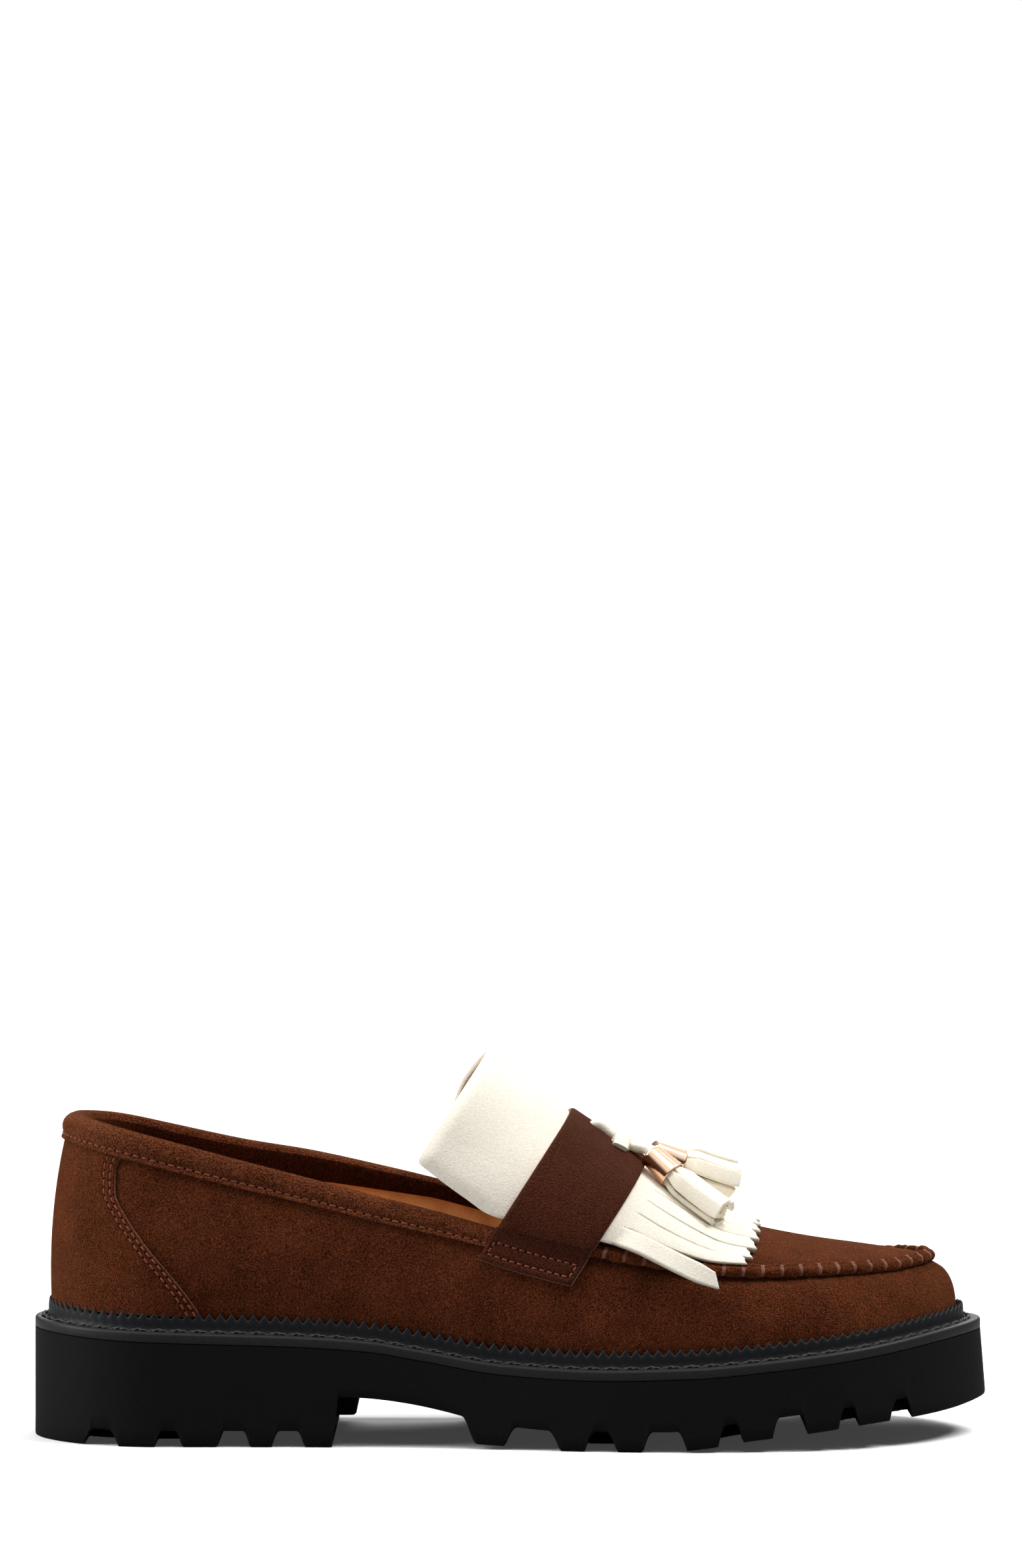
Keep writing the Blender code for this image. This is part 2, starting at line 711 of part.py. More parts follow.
def make_kiltie(collection):
    """One sheet: a tongue behind the strap, and a fringe of strips in front of it."""
    body_rows, strip_rows = 7, 6
    edges = []
    for strip in range(STRIPS):
        start, end = (-1 + 2 * (strip + k) / STRIPS for k in (0, 1))
        edges += [start + (SLIT if strip else 0), end - (SLIT if strip < STRIPS - 1 else 0)]
    points, lifts = [], []
    for r in range(body_rows):
        axial = KILTIE_TAIL + (SLIT_START - KILTIE_TAIL) * r / (body_rows - 1)
        girths = [kiltie_girth(axial, e) for e in edges]
        points += [skin_at_axial(axial, g) for g in girths]
        lifts += [kiltie_lift(g) for g in girths]
    faces = grid_faces(body_rows, len(edges))
    root = (body_rows - 1) * len(edges)
    for strip in range(STRIPS):
        pair = (root + 2 * strip, root + 2 * strip + 1)
        for r in range(1, strip_rows):
            along = r / (strip_rows - 1)
            first = len(points)
            for k in (0, 1):
                point, lift = strip_point(strip, edges[2 * strip + k], k, along, points[root + 2 * strip + k])
                points.append(point)
                lifts.append(lift)
            faces.append((pair[0], first, first + 1, pair[1]))
            pair = (first, first + 1)
    points = raised_surface(points, faces, lifts)
    return sheet("kiltie", points, faces, KILTIE_THICKNESS, True, collection, SUEDE_CREAM, "cream_suede")


def kiltie_lift(girth):
    """The kiltie lies close over the instep and rides up beside the apron seam."""
    return KILTIE_LIFT + KILTIE_RIDE * min(max((abs(girth) - 0.7) / 0.25, 0), 1)


def kiltie_girth(axial, edge):
    lateral, medial = KILTIE_EDGE.at("lateral", axial), KILTIE_EDGE.at("medial", axial)
    return (lateral + medial) / 2 + (medial - lateral) / 2 * edge


def strip_point(strip, edge, corner, along, root):
    """Point on a fringe strip. The first strip strays down over the apron seam; the rest lie on the apron."""
    if strip == 0:
        middle = STRAY_STRIP.at("middle", along)
        half = STRAY_HALF_WIDTH * (1 - 0.35 * along)
        start = kiltie_girth(SLIT_START, edge)
        blend = min(along / 0.25, 1)
        girth = start * (1 - blend) + (middle + (half if corner else -half)) * blend
        end = STRAY_END - (2.0 if corner else 0.0)
        lift = max(STRAY_STRIP.at("lift", along), kiltie_lift(start) * (1 - blend))
    else:
        girth = kiltie_girth(150, edge)
        end = FRINGE_END - (FRINGE_END - FRINGE_END_SIDE) * edge * edge - (FRINGE_SLANT if corner else 0)
        lift = kiltie_lift(girth)
    x = root[0] + (end - root[0]) * along
    return skin(fraction_at(x), girth), lift


def place_along(made, start, end):
    """Puts an object's own origin at start and its +Z towards end."""
    origin, aim = to_part_frame(start), to_part_frame(end)
    turn = (aim - origin).to_track_quat("Z", "Y")
    made.matrix_world = Matrix.Translation(origin) @ turn.to_matrix().to_4x4()


def make_bell(name, start, end, collection):
    """Turned metal cup, narrow at the top, where the strand comes in, and open at its foot."""
    inner_top, inner_foot = BELL_TOP - BELL_WALL, BELL_FOOT - BELL_WALL
    profile = (
        (0, 0),
        (BELL_TOP - 0.5, 0),
        (BELL_TOP, 0.5),
        (BELL_FOOT, BELL_LENGTH - 0.3),
        (BELL_FOOT - 0.3, BELL_LENGTH),
        (inner_foot, BELL_LENGTH),
        (inner_top, BELL_WALL),
        (0, BELL_WALL),
    )
    mesh = bpy.data.meshes.new(name)
    points = [(r * MM, 0, z * MM) for r, z in profile]
    mesh.from_pydata(points, [(i, i + 1) for i in range(len(points) - 1)], [])
    mesh.materials.append(material("rose_gold", ROSE_GOLD))
    bell = bpy.data.objects.new(name, mesh)
    collection.objects.link(bell)
    screw = bell.modifiers.new("turn", "SCREW")
    screw.steps = screw.render_steps = 20
    screw.use_merge_vertices = True
    screw.merge_threshold = 0.00001
    screw.use_normal_flip = True
    screw.use_smooth_shade = True
    place_along(bell, start, end)
    return bell


def make_fringe(name, start, foot, end, collection):
    """Bundle of suede strips: a lobed tube from inside the bell, bending towards its free end."""
    start, foot, end = (np.array(p, float) for p in (start, foot, end))
    axis = (foot - start) / np.linalg.norm(foot - start)
    root = start + axis * (BELL_WALL + GAP)
    bend = foot + axis * np.linalg.norm(end - foot) * 0.45
    path = [root, foot - axis * GAP]
    for t in (0.06, 0.22, 0.45, 0.7, 0.9, 1):
        path.append(foot * (1 - t) ** 2 + bend * 2 * t * (1 - t) + end * t * t)
    radii = [BELL_TOP - BELL_WALL - GAP, BELL_FOOT - BELL_WALL - GAP, FRINGE_ROOT + 0.4]
    radii += [FRINGE_MIDDLE, FRINGE_MIDDLE + 0.3, FRINGE_TIP, FRINGE_TIP, FRINGE_TIP - 0.2]
    steps = FRINGE_LOCKS * LOCK_STEPS
    points = []
    for i, (centre, radius) in enumerate(zip(path, radii)):
        along = Vector(path[min(i + 1, len(path) - 1)] - path[max(i - 1, 0)]).normalized()
        turn = along.to_track_quat("Z", "Y")
        depth = LOCK_DEPTH if i > 2 else 0
        for k in range(steps):
            angle = 2 * math.pi * k / steps
            r = radius * (1 - depth * (1 - math.cos(FRINGE_LOCKS * angle)))
            points.append(centre + np.array(turn @ Vector((r * math.cos(angle), r * math.sin(angle), 0))))
    faces = ring_faces(len(path), steps)
    faces += [tuple(reversed(range(steps))), tuple(range(len(points) - steps, len(points)))]
    return mesh_object(name, points, faces, collection, SUEDE_CREAM, "cream_suede")


def make_tie(collection, cutters):
    """Flat suede thong on the strap's ridge, knotted, with a strand to each bell."""
    lie = Matrix.Rotation(INSTEP_SLOPE, 4, "Y")
    thong = bmesh.new()
    bmesh.ops.create_cube(thong, size=MM)
    tie_mesh = bpy.data.meshes.new("tassel_tie")
    thong.to_mesh(tie_mesh)
    thong.free()
    thong_place = Matrix.Translation(to_part_frame(THONG_MIDDLE))
    tie_mesh.transform(thong_place @ lie @ Matrix.Diagonal((*THONG_SIZE, 1)))
    tie = add_object("tassel_tie", tie_mesh, collection, SUEDE_CREAM, "cream_suede")
    ball = bmesh.new()
    bmesh.ops.create_uvsphere(ball, u_segments=14, v_segments=8, radius=MM)
    knot_mesh = bpy.data.meshes.new("knot")
    ball.to_mesh(knot_mesh)
    ball.free()
    knot_mesh.transform(Matrix.Translation(to_part_frame(KNOT)) @ lie @ Matrix.Diagonal((*KNOT_RADII, 1)))
    boolean(tie, as_cutter(add_object("knot", knot_mesh, cutters)), "UNION")
    for row in TASSELS:
        tassel = dict(zip(TASSEL_COLUMNS, row))
        knot, top = Vector(KNOT), Vector(tassel["bell_top"])
        end = top - (top - knot).normalized() * STRAND_CLEARANCE
        strand = bar_mesh("strand_" + tassel["name"], [knot, end], STRAND_RADIUS)
        boolean(tie, as_cutter(add_object("strand_" + tassel["name"], strand, cutters)), "UNION")
    return tie


def make_tassels(collection):
    for row in TASSELS:
        tassel = dict(zip(TASSEL_COLUMNS, row))
        start, foot = np.array(tassel["bell_top"]), np.array(tassel["bell_foot"])
        foot = start + (foot - start) / np.linalg.norm(foot - start) * BELL_LENGTH
        make_bell("tassel_bell_" + tassel["name"], start, foot, collection)
        make_fringe("tassel_fringe_" + tassel["name"], start, foot, tassel["fringe_end"], collection)


EDGE_SAMPLES = [sole_edge(i / 200)[1] for i in range(400)]
MIDDLE_Y = (min(EDGE_SAMPLES) + max(EDGE_SAMPLES)) / 2


def main():
    clear_scene()
    parts = new_collection("tassel_loafer")
    cutters = new_collection("cutters")
    make_outsole(parts, cutters)
    make_midsole(parts)
    make_storm_welt(parts)
    make_upper(parts)
    make_heel_counter(parts)
    make_insole(parts)
    make_kiltie(parts)
    make_strap(parts)
    make_tie(parts, cutters)
    make_tassels(parts)


main()
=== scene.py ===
import math

import bmesh
import bpy
import numpy as np
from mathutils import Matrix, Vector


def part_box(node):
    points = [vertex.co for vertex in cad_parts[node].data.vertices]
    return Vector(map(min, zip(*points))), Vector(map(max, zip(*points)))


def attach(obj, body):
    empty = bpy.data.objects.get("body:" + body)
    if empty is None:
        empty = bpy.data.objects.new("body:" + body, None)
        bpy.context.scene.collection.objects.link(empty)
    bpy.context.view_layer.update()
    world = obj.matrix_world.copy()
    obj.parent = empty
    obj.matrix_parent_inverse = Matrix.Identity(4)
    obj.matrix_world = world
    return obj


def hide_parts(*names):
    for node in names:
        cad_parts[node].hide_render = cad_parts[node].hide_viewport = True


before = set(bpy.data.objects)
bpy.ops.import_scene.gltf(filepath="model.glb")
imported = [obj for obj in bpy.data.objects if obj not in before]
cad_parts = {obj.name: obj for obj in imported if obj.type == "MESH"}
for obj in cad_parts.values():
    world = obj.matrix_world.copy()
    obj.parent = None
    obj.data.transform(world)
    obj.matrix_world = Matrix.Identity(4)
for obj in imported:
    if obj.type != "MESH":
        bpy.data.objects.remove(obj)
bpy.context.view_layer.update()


# Studio: a white floor under large soft lamps, with the shoe's outer side turned to the camera.
# The camera stands at the photograph's place, a little above the shoe, and looks almost level.
CAMERA_PLACE = (0.0, -1.6, 0.2)
FOCAL_PIXELS, IMAGE_HEIGHT, HORIZON_PIXELS = 8500, 2380, 78.1
SENSOR = 36.0
LAMP_AIM = (0.0, 0.0, 0.05)
# Lamps: name, place, width in metres, and watts.
LAMPS = (
    ("heel_lamp", (-1.6, -0.15, 0.7), 0.9, 25),
    ("toe_lamp", (1.0, -0.2, 1.7), 0.9, 39),
    ("top_lamp", (-1.0, -0.2, 1.7), 0.9, 10),
    ("front_lamp", (0.0, -0.9, 1.9), 0.9, 8),
    ("back_lamp", (0.1, 1.5, 1.1), 1.0, 16),
)
# Light of the air: all round, and what only reflections see overhead, growing between two heights.
AIR_FILL, AIR_SHINE, SHINE_FROM, SHINE_FULL = 0.055, 1.2, 0.15, 0.6
FLOOR_REACH = 1.5
# White of the floor as it is seen and as it lights the shoe, and the light that its shadows keep.
FLOOR_SEEN, FLOOR_BOUNCE, FLOOR_LIFT = 1.0, 0.4, 0.045

for name, place, width, watts in LAMPS:
    lamp = bpy.data.lights.new(name, "AREA")
    lamp.size = width
    lamp.energy = watts
    stand = bpy.data.objects.new(name, lamp)
    bpy.context.scene.collection.objects.link(stand)
    stand.location = place
    x, y, z = np.subtract(LAMP_AIM, place)
    stand.rotation_euler = (math.atan2(math.hypot(x, y), -z), 0, math.atan2(y, x) - math.pi / 2)

camera = bpy.data.objects.new("camera", bpy.data.cameras.new("camera"))
bpy.context.scene.collection.objects.link(camera)
camera.location = CAMERA_PLACE
camera.rotation_euler = (math.pi / 2 - math.atan(HORIZON_PIXELS / FOCAL_PIXELS), 0, 0)
camera.data.sensor_width = SENSOR
camera.data.lens = FOCAL_PIXELS * SENSOR / IMAGE_HEIGHT
bpy.context.scene.camera = camera
bpy.context.scene.view_settings.view_transform = "Standard"


def add_node(tree, kind, sockets=(), **settings):
    """New shader node. Each of its sockets given is linked where the value is an output, or else set."""
    node = tree.nodes.new("ShaderNode" + kind)
    for setting, value in settings.items():
        setattr(node, setting, value)
    for socket, value in dict(sockets).items():
        if isinstance(value, bpy.types.NodeSocket):
            tree.links.new(value, node.inputs[socket])
        else:
            node.inputs[socket].default_value = value
    return node


world = bpy.data.worlds.new("studio_air")
bpy.context.scene.world = world
world.use_nodes = True
air = world.node_tree
backdrop = air.nodes["Background"]
backdrop.inputs["Color"].default_value = (1, 1, 1, 1)
rays = add_node(air, "LightPath").outputs
air_place = add_node(air, "TexCoord").outputs["Generated"]
air_height = add_node(air, "SeparateXYZ", {0: air_place}).outputs["Z"]
shine_range = {"Value": air_height, "From Min": SHINE_FROM, "From Max": SHINE_FULL, "To Max": AIR_SHINE}
overhead = add_node(air, "MapRange", shine_range, interpolation_type="SMOOTHSTEP").outputs["Result"]
shine_parts = {0: rays["Is Glossy Ray"], 1: overhead, 2: AIR_FILL}
shine = add_node(air, "Math", shine_parts, operation="MULTIPLY_ADD").outputs[0]
glow = add_node(air, "MapRange", {"Value": rays["Is Camera Ray"], "To Min": shine, "To Max": 1.0})
air.links.new(glow.outputs["Result"], backdrop.inputs["Strength"])

floor_mesh = bpy.data.meshes.new("floor")
floor_corners = [(sx * FLOOR_REACH, sy * FLOOR_REACH, 0) for sx, sy in ((-1, -1), (1, -1), (1, 1), (-1, 1))]
floor_mesh.from_pydata(floor_corners, [], [(0, 1, 2, 3)])
floor = bpy.data.objects.new("floor", floor_mesh)
bpy.context.scene.collection.objects.link(floor)
floor_paint = bpy.data.materials.new("floor_paint")
floor_paint.use_nodes = True
floor_tree = floor_paint.node_tree
floor_tree.nodes.remove(floor_tree.nodes["Principled BSDF"])
seen = add_node(floor_tree, "LightPath").outputs["Is Camera Ray"]
white = add_node(floor_tree, "MapRange", {"Value": seen, "To Min": FLOOR_BOUNCE, "To Max": FLOOR_SEEN})
matt = add_node(floor_tree, "BsdfDiffuse", {"Color": white.outputs["Result"]})
lift = add_node(floor_tree, "Emission", {"Color": (FLOOR_LIFT, FLOOR_LIFT, FLOOR_LIFT, 1), "Strength": seen})
floor_sum = add_node(floor_tree, "AddShader", {0: matt.outputs["BSDF"], 1: lift.outputs["Emission"]})
floor_tree.links.new(floor_sum.outputs["Shader"], floor_tree.nodes["Material Output"].inputs["Surface"])
floor_mesh.materials.append(floor_paint)


# Outsole: one block of black moulded rubber with a heel, an arch and a lugged forefoot.
# It is cast in a mould, so its edges are a little round and its tread has drafted grooves and oval channels.
MM = 0.001
SOLE_LENGTH = 272.0
HEEL_ROUND, TOE_ROUND, END_ROUNDNESS = 36.0, 50.0, 2.15
GAP = 0.3
WIDEST_LATERAL = -48.6


def curve(places, sizes):
    """Smooth curve through sizes at places, which never overshoots them."""
    spans = np.diff(places)
    slopes = np.diff(sizes) / spans
    agree = slopes[:-1] * slopes[1:]
    inner = np.where(agree > 0, 2 * agree / np.where(agree > 0, slopes[:-1] + slopes[1:], 1), 0)
    tilts = np.concatenate([slopes[:1], inner, slopes[-1:]])

    def size_at(place):
        i = np.clip(np.searchsorted(places, place) - 1, 0, len(spans) - 1)
        t = np.clip((place - places[i]) / spans[i], 0, 1)
        rise = t * t * (3 - 2 * t)
        bend = spans[i] * t * (1 - t) * (tilts[i] * (1 - t) - tilts[i + 1] * t)
        return sizes[i] * (1 - rise) + sizes[i + 1] * rise + bend

    return size_at


def curves(*rows):
    """One smooth curve for each column of sizes after the column of places."""
    table = np.array(rows, float)
    return [curve(table[:, 0], sizes) for sizes in table[:, 1:].T]


# Plan of the sole: station from the back of the heel, outer edge and inner edge.
sole_lateral, sole_medial = curves(
    (0, -31, 31), (20, -34.5, 34), (40, -36, 35), (65, -36, 34.5), (90, -36.5, 33),
    (110, -38, 32.5), (130, -41, 33.5), (150, -44.8, 36.8), (170, -47.7, 41.5), (187, WIDEST_LATERAL, 45.2),
    (205, -48, 47.4), (222, -45.6, 46.6), (245, -39.5, 44), (260, -34, 43), (272, -27, 37),
)
# Height of the ledge that the upper stands on, by station.
(ledge_height,) = curves(
    (0, 33.9), (25, 32.6), (50, 31.8), (74, 31.1), (96, 29.7), (110, 27.5), (134, 23.8),
    (159, 22.7), (186, 23.4), (210, 25.5), (235, 28.4), (261, 32.0), (272, 32.9),
)
# Height of the tread by station: flat heel, arch, forefoot and toe spring.
(tread_height,) = curves(
    (0, 0), (85.8, 0), (87.6, 14.0), (122.3, 9.1), (126.4, 1.4), (134, 1.0), (148, 0),
    (178, 0), (190, 1.0), (200, 2.7), (218, 4.8), (236, 7.0), (260, 9.1), (272, 11.0),
)
# Insets from the sole's edge by station: of the grey band, and of the storm welt.
band_inset, welt_inset_at = curves((0, 0, 3.8), (60, 0.1, 4.5), (200, 0.4, 4.7), (272, 1.4, 6.2))


def fraction_at(station):
    """Share of the way from heel to toe, with the shares crowded where the plan turns round."""
    return np.arccos(1 - 2 * np.asarray(station) / SOLE_LENGTH) / np.pi


def sole_edge(turn):
    """Edge of the sole: turn 0 to 1 follows its outer side to the toe, and 1 to 2 its inner side back."""
    turn = np.mod(turn, 2.0)
    x = SOLE_LENGTH * (1 - np.cos(np.pi * np.minimum(turn, 2 - turn))) / 2
    into_end = np.maximum(np.maximum(1 - x / HEEL_ROUND, 1 - (SOLE_LENGTH - x) / TOE_ROUND), 0)
    rounding = np.maximum(1 - into_end**END_ROUNDNESS, 0) ** (1 / END_ROUNDNESS)
    middle, half = (sole_lateral(x) + sole_medial(x)) / 2, (sole_medial(x) - sole_lateral(x)) / 2
    return np.stack([x, middle + np.where(turn <= 1, -half, half) * rounding], -1)


def unit(vectors):
    """Vectors brought to a length of 1."""
    return vectors / np.maximum(np.linalg.norm(vectors, axis=-1, keepdims=True), 1e-9)


def inward(turn, step=1e-3):
    """Way in from the sole's edge, in plan."""
    along = unit(sole_edge(turn + step) - sole_edge(turn - step))
    return np.stack([-along[..., 1], along[..., 0]], -1)


def ledge_point(turn, inset, above):
    """Point in from the sole's edge, at a height over the ledge that the upper stands on."""
    plan = sole_edge(turn) + np.asarray(inset)[..., None] * inward(turn)
    return np.concatenate([plan, (ledge_height(plan[..., 0]) + above)[..., None]], -1)


def grid_faces(rows, columns, round_rows=False, round_columns=False):
    """Quads of a grid of points, which may close on itself either way."""
    row_count, column_count = rows - (not round_rows), columns - (not round_columns)
    r, c = np.meshgrid(np.arange(row_count), np.arange(column_count), indexing="ij")
    r_next, c_next = (r + 1) % rows, (c + 1) % columns
    quads = [r * columns + c, r_next * columns + c, r_next * columns + c_next, r * columns + c_next]
    return np.stack(quads, -1).reshape(-1, 4)


def loft_faces(rings, count):
    """Faces of a solid through closed rings, with a cap on its first ring and on its last."""
    first, last = list(range(count)), list(range((rings - 1) * count, rings * count))
    return grid_faces(rings, count, round_columns=True).tolist() + [first[::-1], last]


def new_piece(name, points, faces, finish, sharp=50):
    """Mesh object from points in millimetres, measured from the back of the heel on the sole's own line."""
    heel_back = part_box("outsole")[0][0]
    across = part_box("outsole")[0][1] - WIDEST_LATERAL * MM
    mesh = bpy.data.meshes.new(name)
    places = np.asarray(points, float).reshape(-1, 3) * MM + (heel_back, across, 0)
    mesh.from_pydata(places.tolist(), [], faces if isinstance(faces, list) else faces.tolist())
    work = bmesh.new()
    work.from_mesh(mesh)
    bmesh.ops.recalc_face_normals(work, faces=work.faces)
    work.to_mesh(mesh)
    work.free()
    mesh.shade_smooth()
    mesh.set_sharp_from_angle(angle=math.radians(sharp))
    mesh.materials.append(finish)
    piece = bpy.data.objects.new(name, mesh)
    bpy.context.scene.collection.objects.link(piece)
    return piece


def tone(red, green, blue):
    """Linear colour for a tone as it is read off a screen."""
    shares = np.array([red, green, blue]) / 255
    linear = np.where(shares <= 0.04045, shares / 12.92, ((shares + 0.055) / 1.055) ** 2.4)
    return (*linear.tolist(), 1.0)


def mottled(
    name, dark, light, patch, grain, roughness, relief,
    patch_share=0.5, grain_share=0.8, fleck=1.0, **constants,
):
    """Finish that drifts between two tones in patches and again in fine grain, which stands in relief.

    patch, grain and relief are sizes in millimetres. A fleck over 1 makes the light tone rarer, as the
    tips of a nap are; on the brown suedes that paler tone also stands for glints of the nap, a painted
    highlight. Constants go on the shader's own sockets.
    """
    finish = bpy.data.materials.new(name)
    finish.use_nodes = True
    tree = finish.node_tree
    shader = tree.nodes["Principled BSDF"]
    for socket, value in constants.items():
        shader.inputs[socket.replace("_", " ")].default_value = value
    place = add_node(tree, "TexCoord").outputs["Object"]
    speckles, swings = [], []
    for size, detail, fineness, share, middle in (
        (patch, 3, 0.66, patch_share, 0.5), (grain, 1, 0.9, grain_share, 0),
    ):
        noise = {"Vector": place, "Scale": 1 / (size * MM), "Detail": detail, "Roughness": fineness}
        speckles.append(add_node(tree, "TexNoise", noise).outputs["Fac"])
        swing = {0: speckles[-1], 1: share * 2, 2: middle - share}
        swings.append(add_node(tree, "Math", swing, operation="MULTIPLY_ADD").outputs[0])
    shade = add_node(tree, "Math", enumerate(swings), operation="ADD", use_clamp=True).outputs[0]
    if fleck != 1:
        shade = add_node(tree, "Math", {0: shade, 1: fleck}, operation="POWER").outputs[0]
    blend = add_node(tree, "Mix", {0: shade, 6: dark, 7: light}, data_type="RGBA")
    gloss_range = {"Value": speckles[1], "To Min": roughness[0], "To Max": roughness[1]}
    gloss = add_node(tree, "MapRange", gloss_range)
    bump = add_node(tree, "Bump", {"Distance": relief * MM, "Height": speckles[1]})
    tree.links.new(blend.outputs[2], shader.inputs["Base Color"])
    tree.links.new(gloss.outputs["Result"], shader.inputs["Roughness"])
    tree.links.new(bump.outputs["Normal"], shader.inputs["Normal"])
    return finish


BAND_THICKNESS = 3.0
TREAD_EDGE = 1.2
SOLE_STEPS, TREAD_STEPS, SIDE_STEPS = 640, 100, 8
# Grooves: station, width at the floor, width inside, depth, and whether they go right across.
TREAD_GROOVES = (
    (21.0, 9.6, 3.8, 4.5, False), (40.1, 7.6, 3.0, 4.5, False), (58.3, 9.0, 5.2, 4.5, True),
    (73.6, 9.0, 4.8, 4.5, True), (142.0, 15.2, 8.2, 5.6, True), (161.0, 8.9, 2.6, 5.6, False),
    (178.8, 12.1, 6.7, 5.6, True), (197.0, 6.8, 2.4, 5.6, False), (213.6, 9.7, 5.8, 5.6, True),
    (230.1, 5.6, 2.2, 5.6, False), (245.2, 6.3, 2.2, 5.6, False),
)
LUG_LENGTH = 19.0
# Oval channels: station and side of the middle, half length, and half width.
TREAD_CHANNELS = ((48.0, 0.0, 26.0, 15.0), (190.0, 0.5, 52.0, 26.0))
CHANNEL_WIDTH, CHANNEL_DEPTH, CHANNEL_DRAFT = 5.0, 4.2, 0.8
# Rib between the heel's breast and the arch, on the inner side of the shoe.
BREAST_RIB_BACK, BREAST_RIB_FRONT, BREAST_RIB_FOOT, BREAST_RIB_SIDE = 80.0, 93.0, 6.2, -14.0


def ramp(place, start, end):
    """Share of the way from start to end, kept between 0 and 1."""
    return np.clip((place - start) / (end - start), 0, 1)


def tread_cuts(x, y, from_edge):
    """Depth of the grooves and channels at a place on the tread."""
    depth = np.zeros_like(x)
    for station, mouth, root, deep, right_across in TREAD_GROOVES:
        draft = np.clip((mouth / 2 - np.abs(x - station)) / (mouth / 2 - root / 2), 0, 1)
        reach = 1 if right_across else np.clip(LUG_LENGTH - from_edge, 0, 1)
        depth = np.maximum(depth, deep * np.sin(draft * np.pi / 2) ** 0.9 * reach)
    for station, side, half_length, half_width in TREAD_CHANNELS:
        outer = np.hypot((x - station) / half_length, (y - side) / half_width)
        inner_length, inner_width = half_length - CHANNEL_WIDTH, half_width - CHANNEL_WIDTH
        inner = np.hypot((x - station) / inner_length, (y - side) / inner_width)
        inside = np.clip((1 - outer) * half_width / CHANNEL_DRAFT, 0, 1)
        outside = np.clip((inner - 1) * inner_width / CHANNEL_DRAFT, 0, 1)
        depth = np.maximum(depth, CHANNEL_DEPTH * inside * outside)
    return depth


sole_shares = np.linspace(0, 1, SOLE_STEPS + 1)[1:-1]
even = np.linspace(0, 1, TREAD_STEPS + 1)
tread_shares = 0.75 * even + 0.25 * (1 - np.cos(np.pi * even)) / 2
near_edge, far_edge = sole_edge(sole_shares), sole_edge(2 - sole_shares)
tread_plan = near_edge[:, None] * (1 - tread_shares[:, None]) + far_edge[:, None] * tread_shares[:, None]
tread_x, tread_y = tread_plan[..., 0], tread_plan[..., 1]
sole_width = (far_edge - near_edge)[:, 1:]
from_edge = np.minimum(tread_shares, 1 - tread_shares) * sole_width
edge_round = TREAD_EDGE * (1 - np.sqrt(1 - np.clip(1 - from_edge / TREAD_EDGE, 0, 1) ** 2))
tread_z = tread_height(tread_x)
rib = ramp(tread_y, BREAST_RIB_SIDE, BREAST_RIB_SIDE + 2) * np.clip(BREAST_RIB_FRONT - tread_x, 0, 1)
rib = rib * (tread_x > BREAST_RIB_BACK)
tread_z = np.minimum(tread_z, tread_z + (BREAST_RIB_FOOT - tread_z) * rib)
tread_z = tread_z + edge_round + tread_cuts(tread_x, tread_y, from_edge)
tread = np.stack([tread_x, tread_y, tread_z], -1)
side_shares = np.linspace(0, 1, SIDE_STEPS)[1:, None]


def sole_side(turn, foot):
    """Side of the outsole from its edge on the tread up to the band."""
    top = ledge_point(turn, band_inset(sole_edge(turn)[..., 0]), -BAND_THICKNESS - GAP / 2)
    return foot[:, None] * (1 - side_shares) + top[:, None] * side_shares


far_side = sole_side(2 - sole_shares, tread[:, -1])
near_side = sole_side(sole_shares, tread[:, 0])
outsole_loops = np.concatenate([tread, far_side, near_side[:, ::-1]], 1)
black_rubber = mottled(
    "black_rubber", tone(7, 7, 8), tone(14, 14, 15), patch=9, grain=0.9, roughness=(0.6, 0.8), relief=0.05,
    patch_share=0.3, Specular_IOR_Level=0.08,
)
outsole = new_piece("outsole_moulding", outsole_loops, loft_faces(*outsole_loops.shape[:2]), black_rubber, 40)
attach(outsole, "root")
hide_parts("outsole")


# Midsole: a thin plate of smooth dark grey rubber, cemented to the outsole and trimmed flush with it.
# Its rim is eased, and a shallow channel on the ledge takes the stitching that holds the welt down.
STITCH_CHANNEL = 1.4
WELT_FOOT = 3.0
# Section of the edge: what it is measured from, inset, and height over the ledge.
MIDSOLE_PROFILE = (
    ("band", 1.5, -3.0), ("band", 0.25, -3.0), ("band", 0, -2.75), ("band", 0, -2.0), ("band", 0, -0.9),
    ("band", 0.08, -0.5), ("band", 0.3, -0.2), ("band", 0.65, -0.04), ("band", 1.1, 0), ("welt", -2.3, 0),
    ("welt", -2.0, -0.25), ("welt", -STITCH_CHANNEL, -0.45), ("welt", -0.7, -0.2), ("welt", -0.3, 0),
    ("welt", WELT_FOOT, 0),
)


def edge_stack(turn, profile):
    """Rows up an edge: each is an inset from the band or from the welt, and a height over the ledge."""
    x = sole_edge(turn)[..., 0]
    starts = {"band": band_inset(x), "welt": welt_inset_at(x)}
    return np.stack([ledge_point(turn, starts[start] + inset, above) for start, inset, above in profile], 1)


def thick_sheet(outer, inner):
    """Points and faces of a closed sheet between an outer and an inner grid."""
    rows, columns = outer.shape[:2]
    loops = np.concatenate([outer, inner[:, ::-1]], 1)
    c = np.arange(columns - 1)
    cap = np.stack([c, c + 1, 2 * columns - 2 - c, 2 * columns - 1 - c], -1)
    sides = grid_faces(rows, 2 * columns, round_columns=True)
    return loops, np.concatenate([sides, cap[:, ::-1], cap + (rows - 1) * 2 * columns])


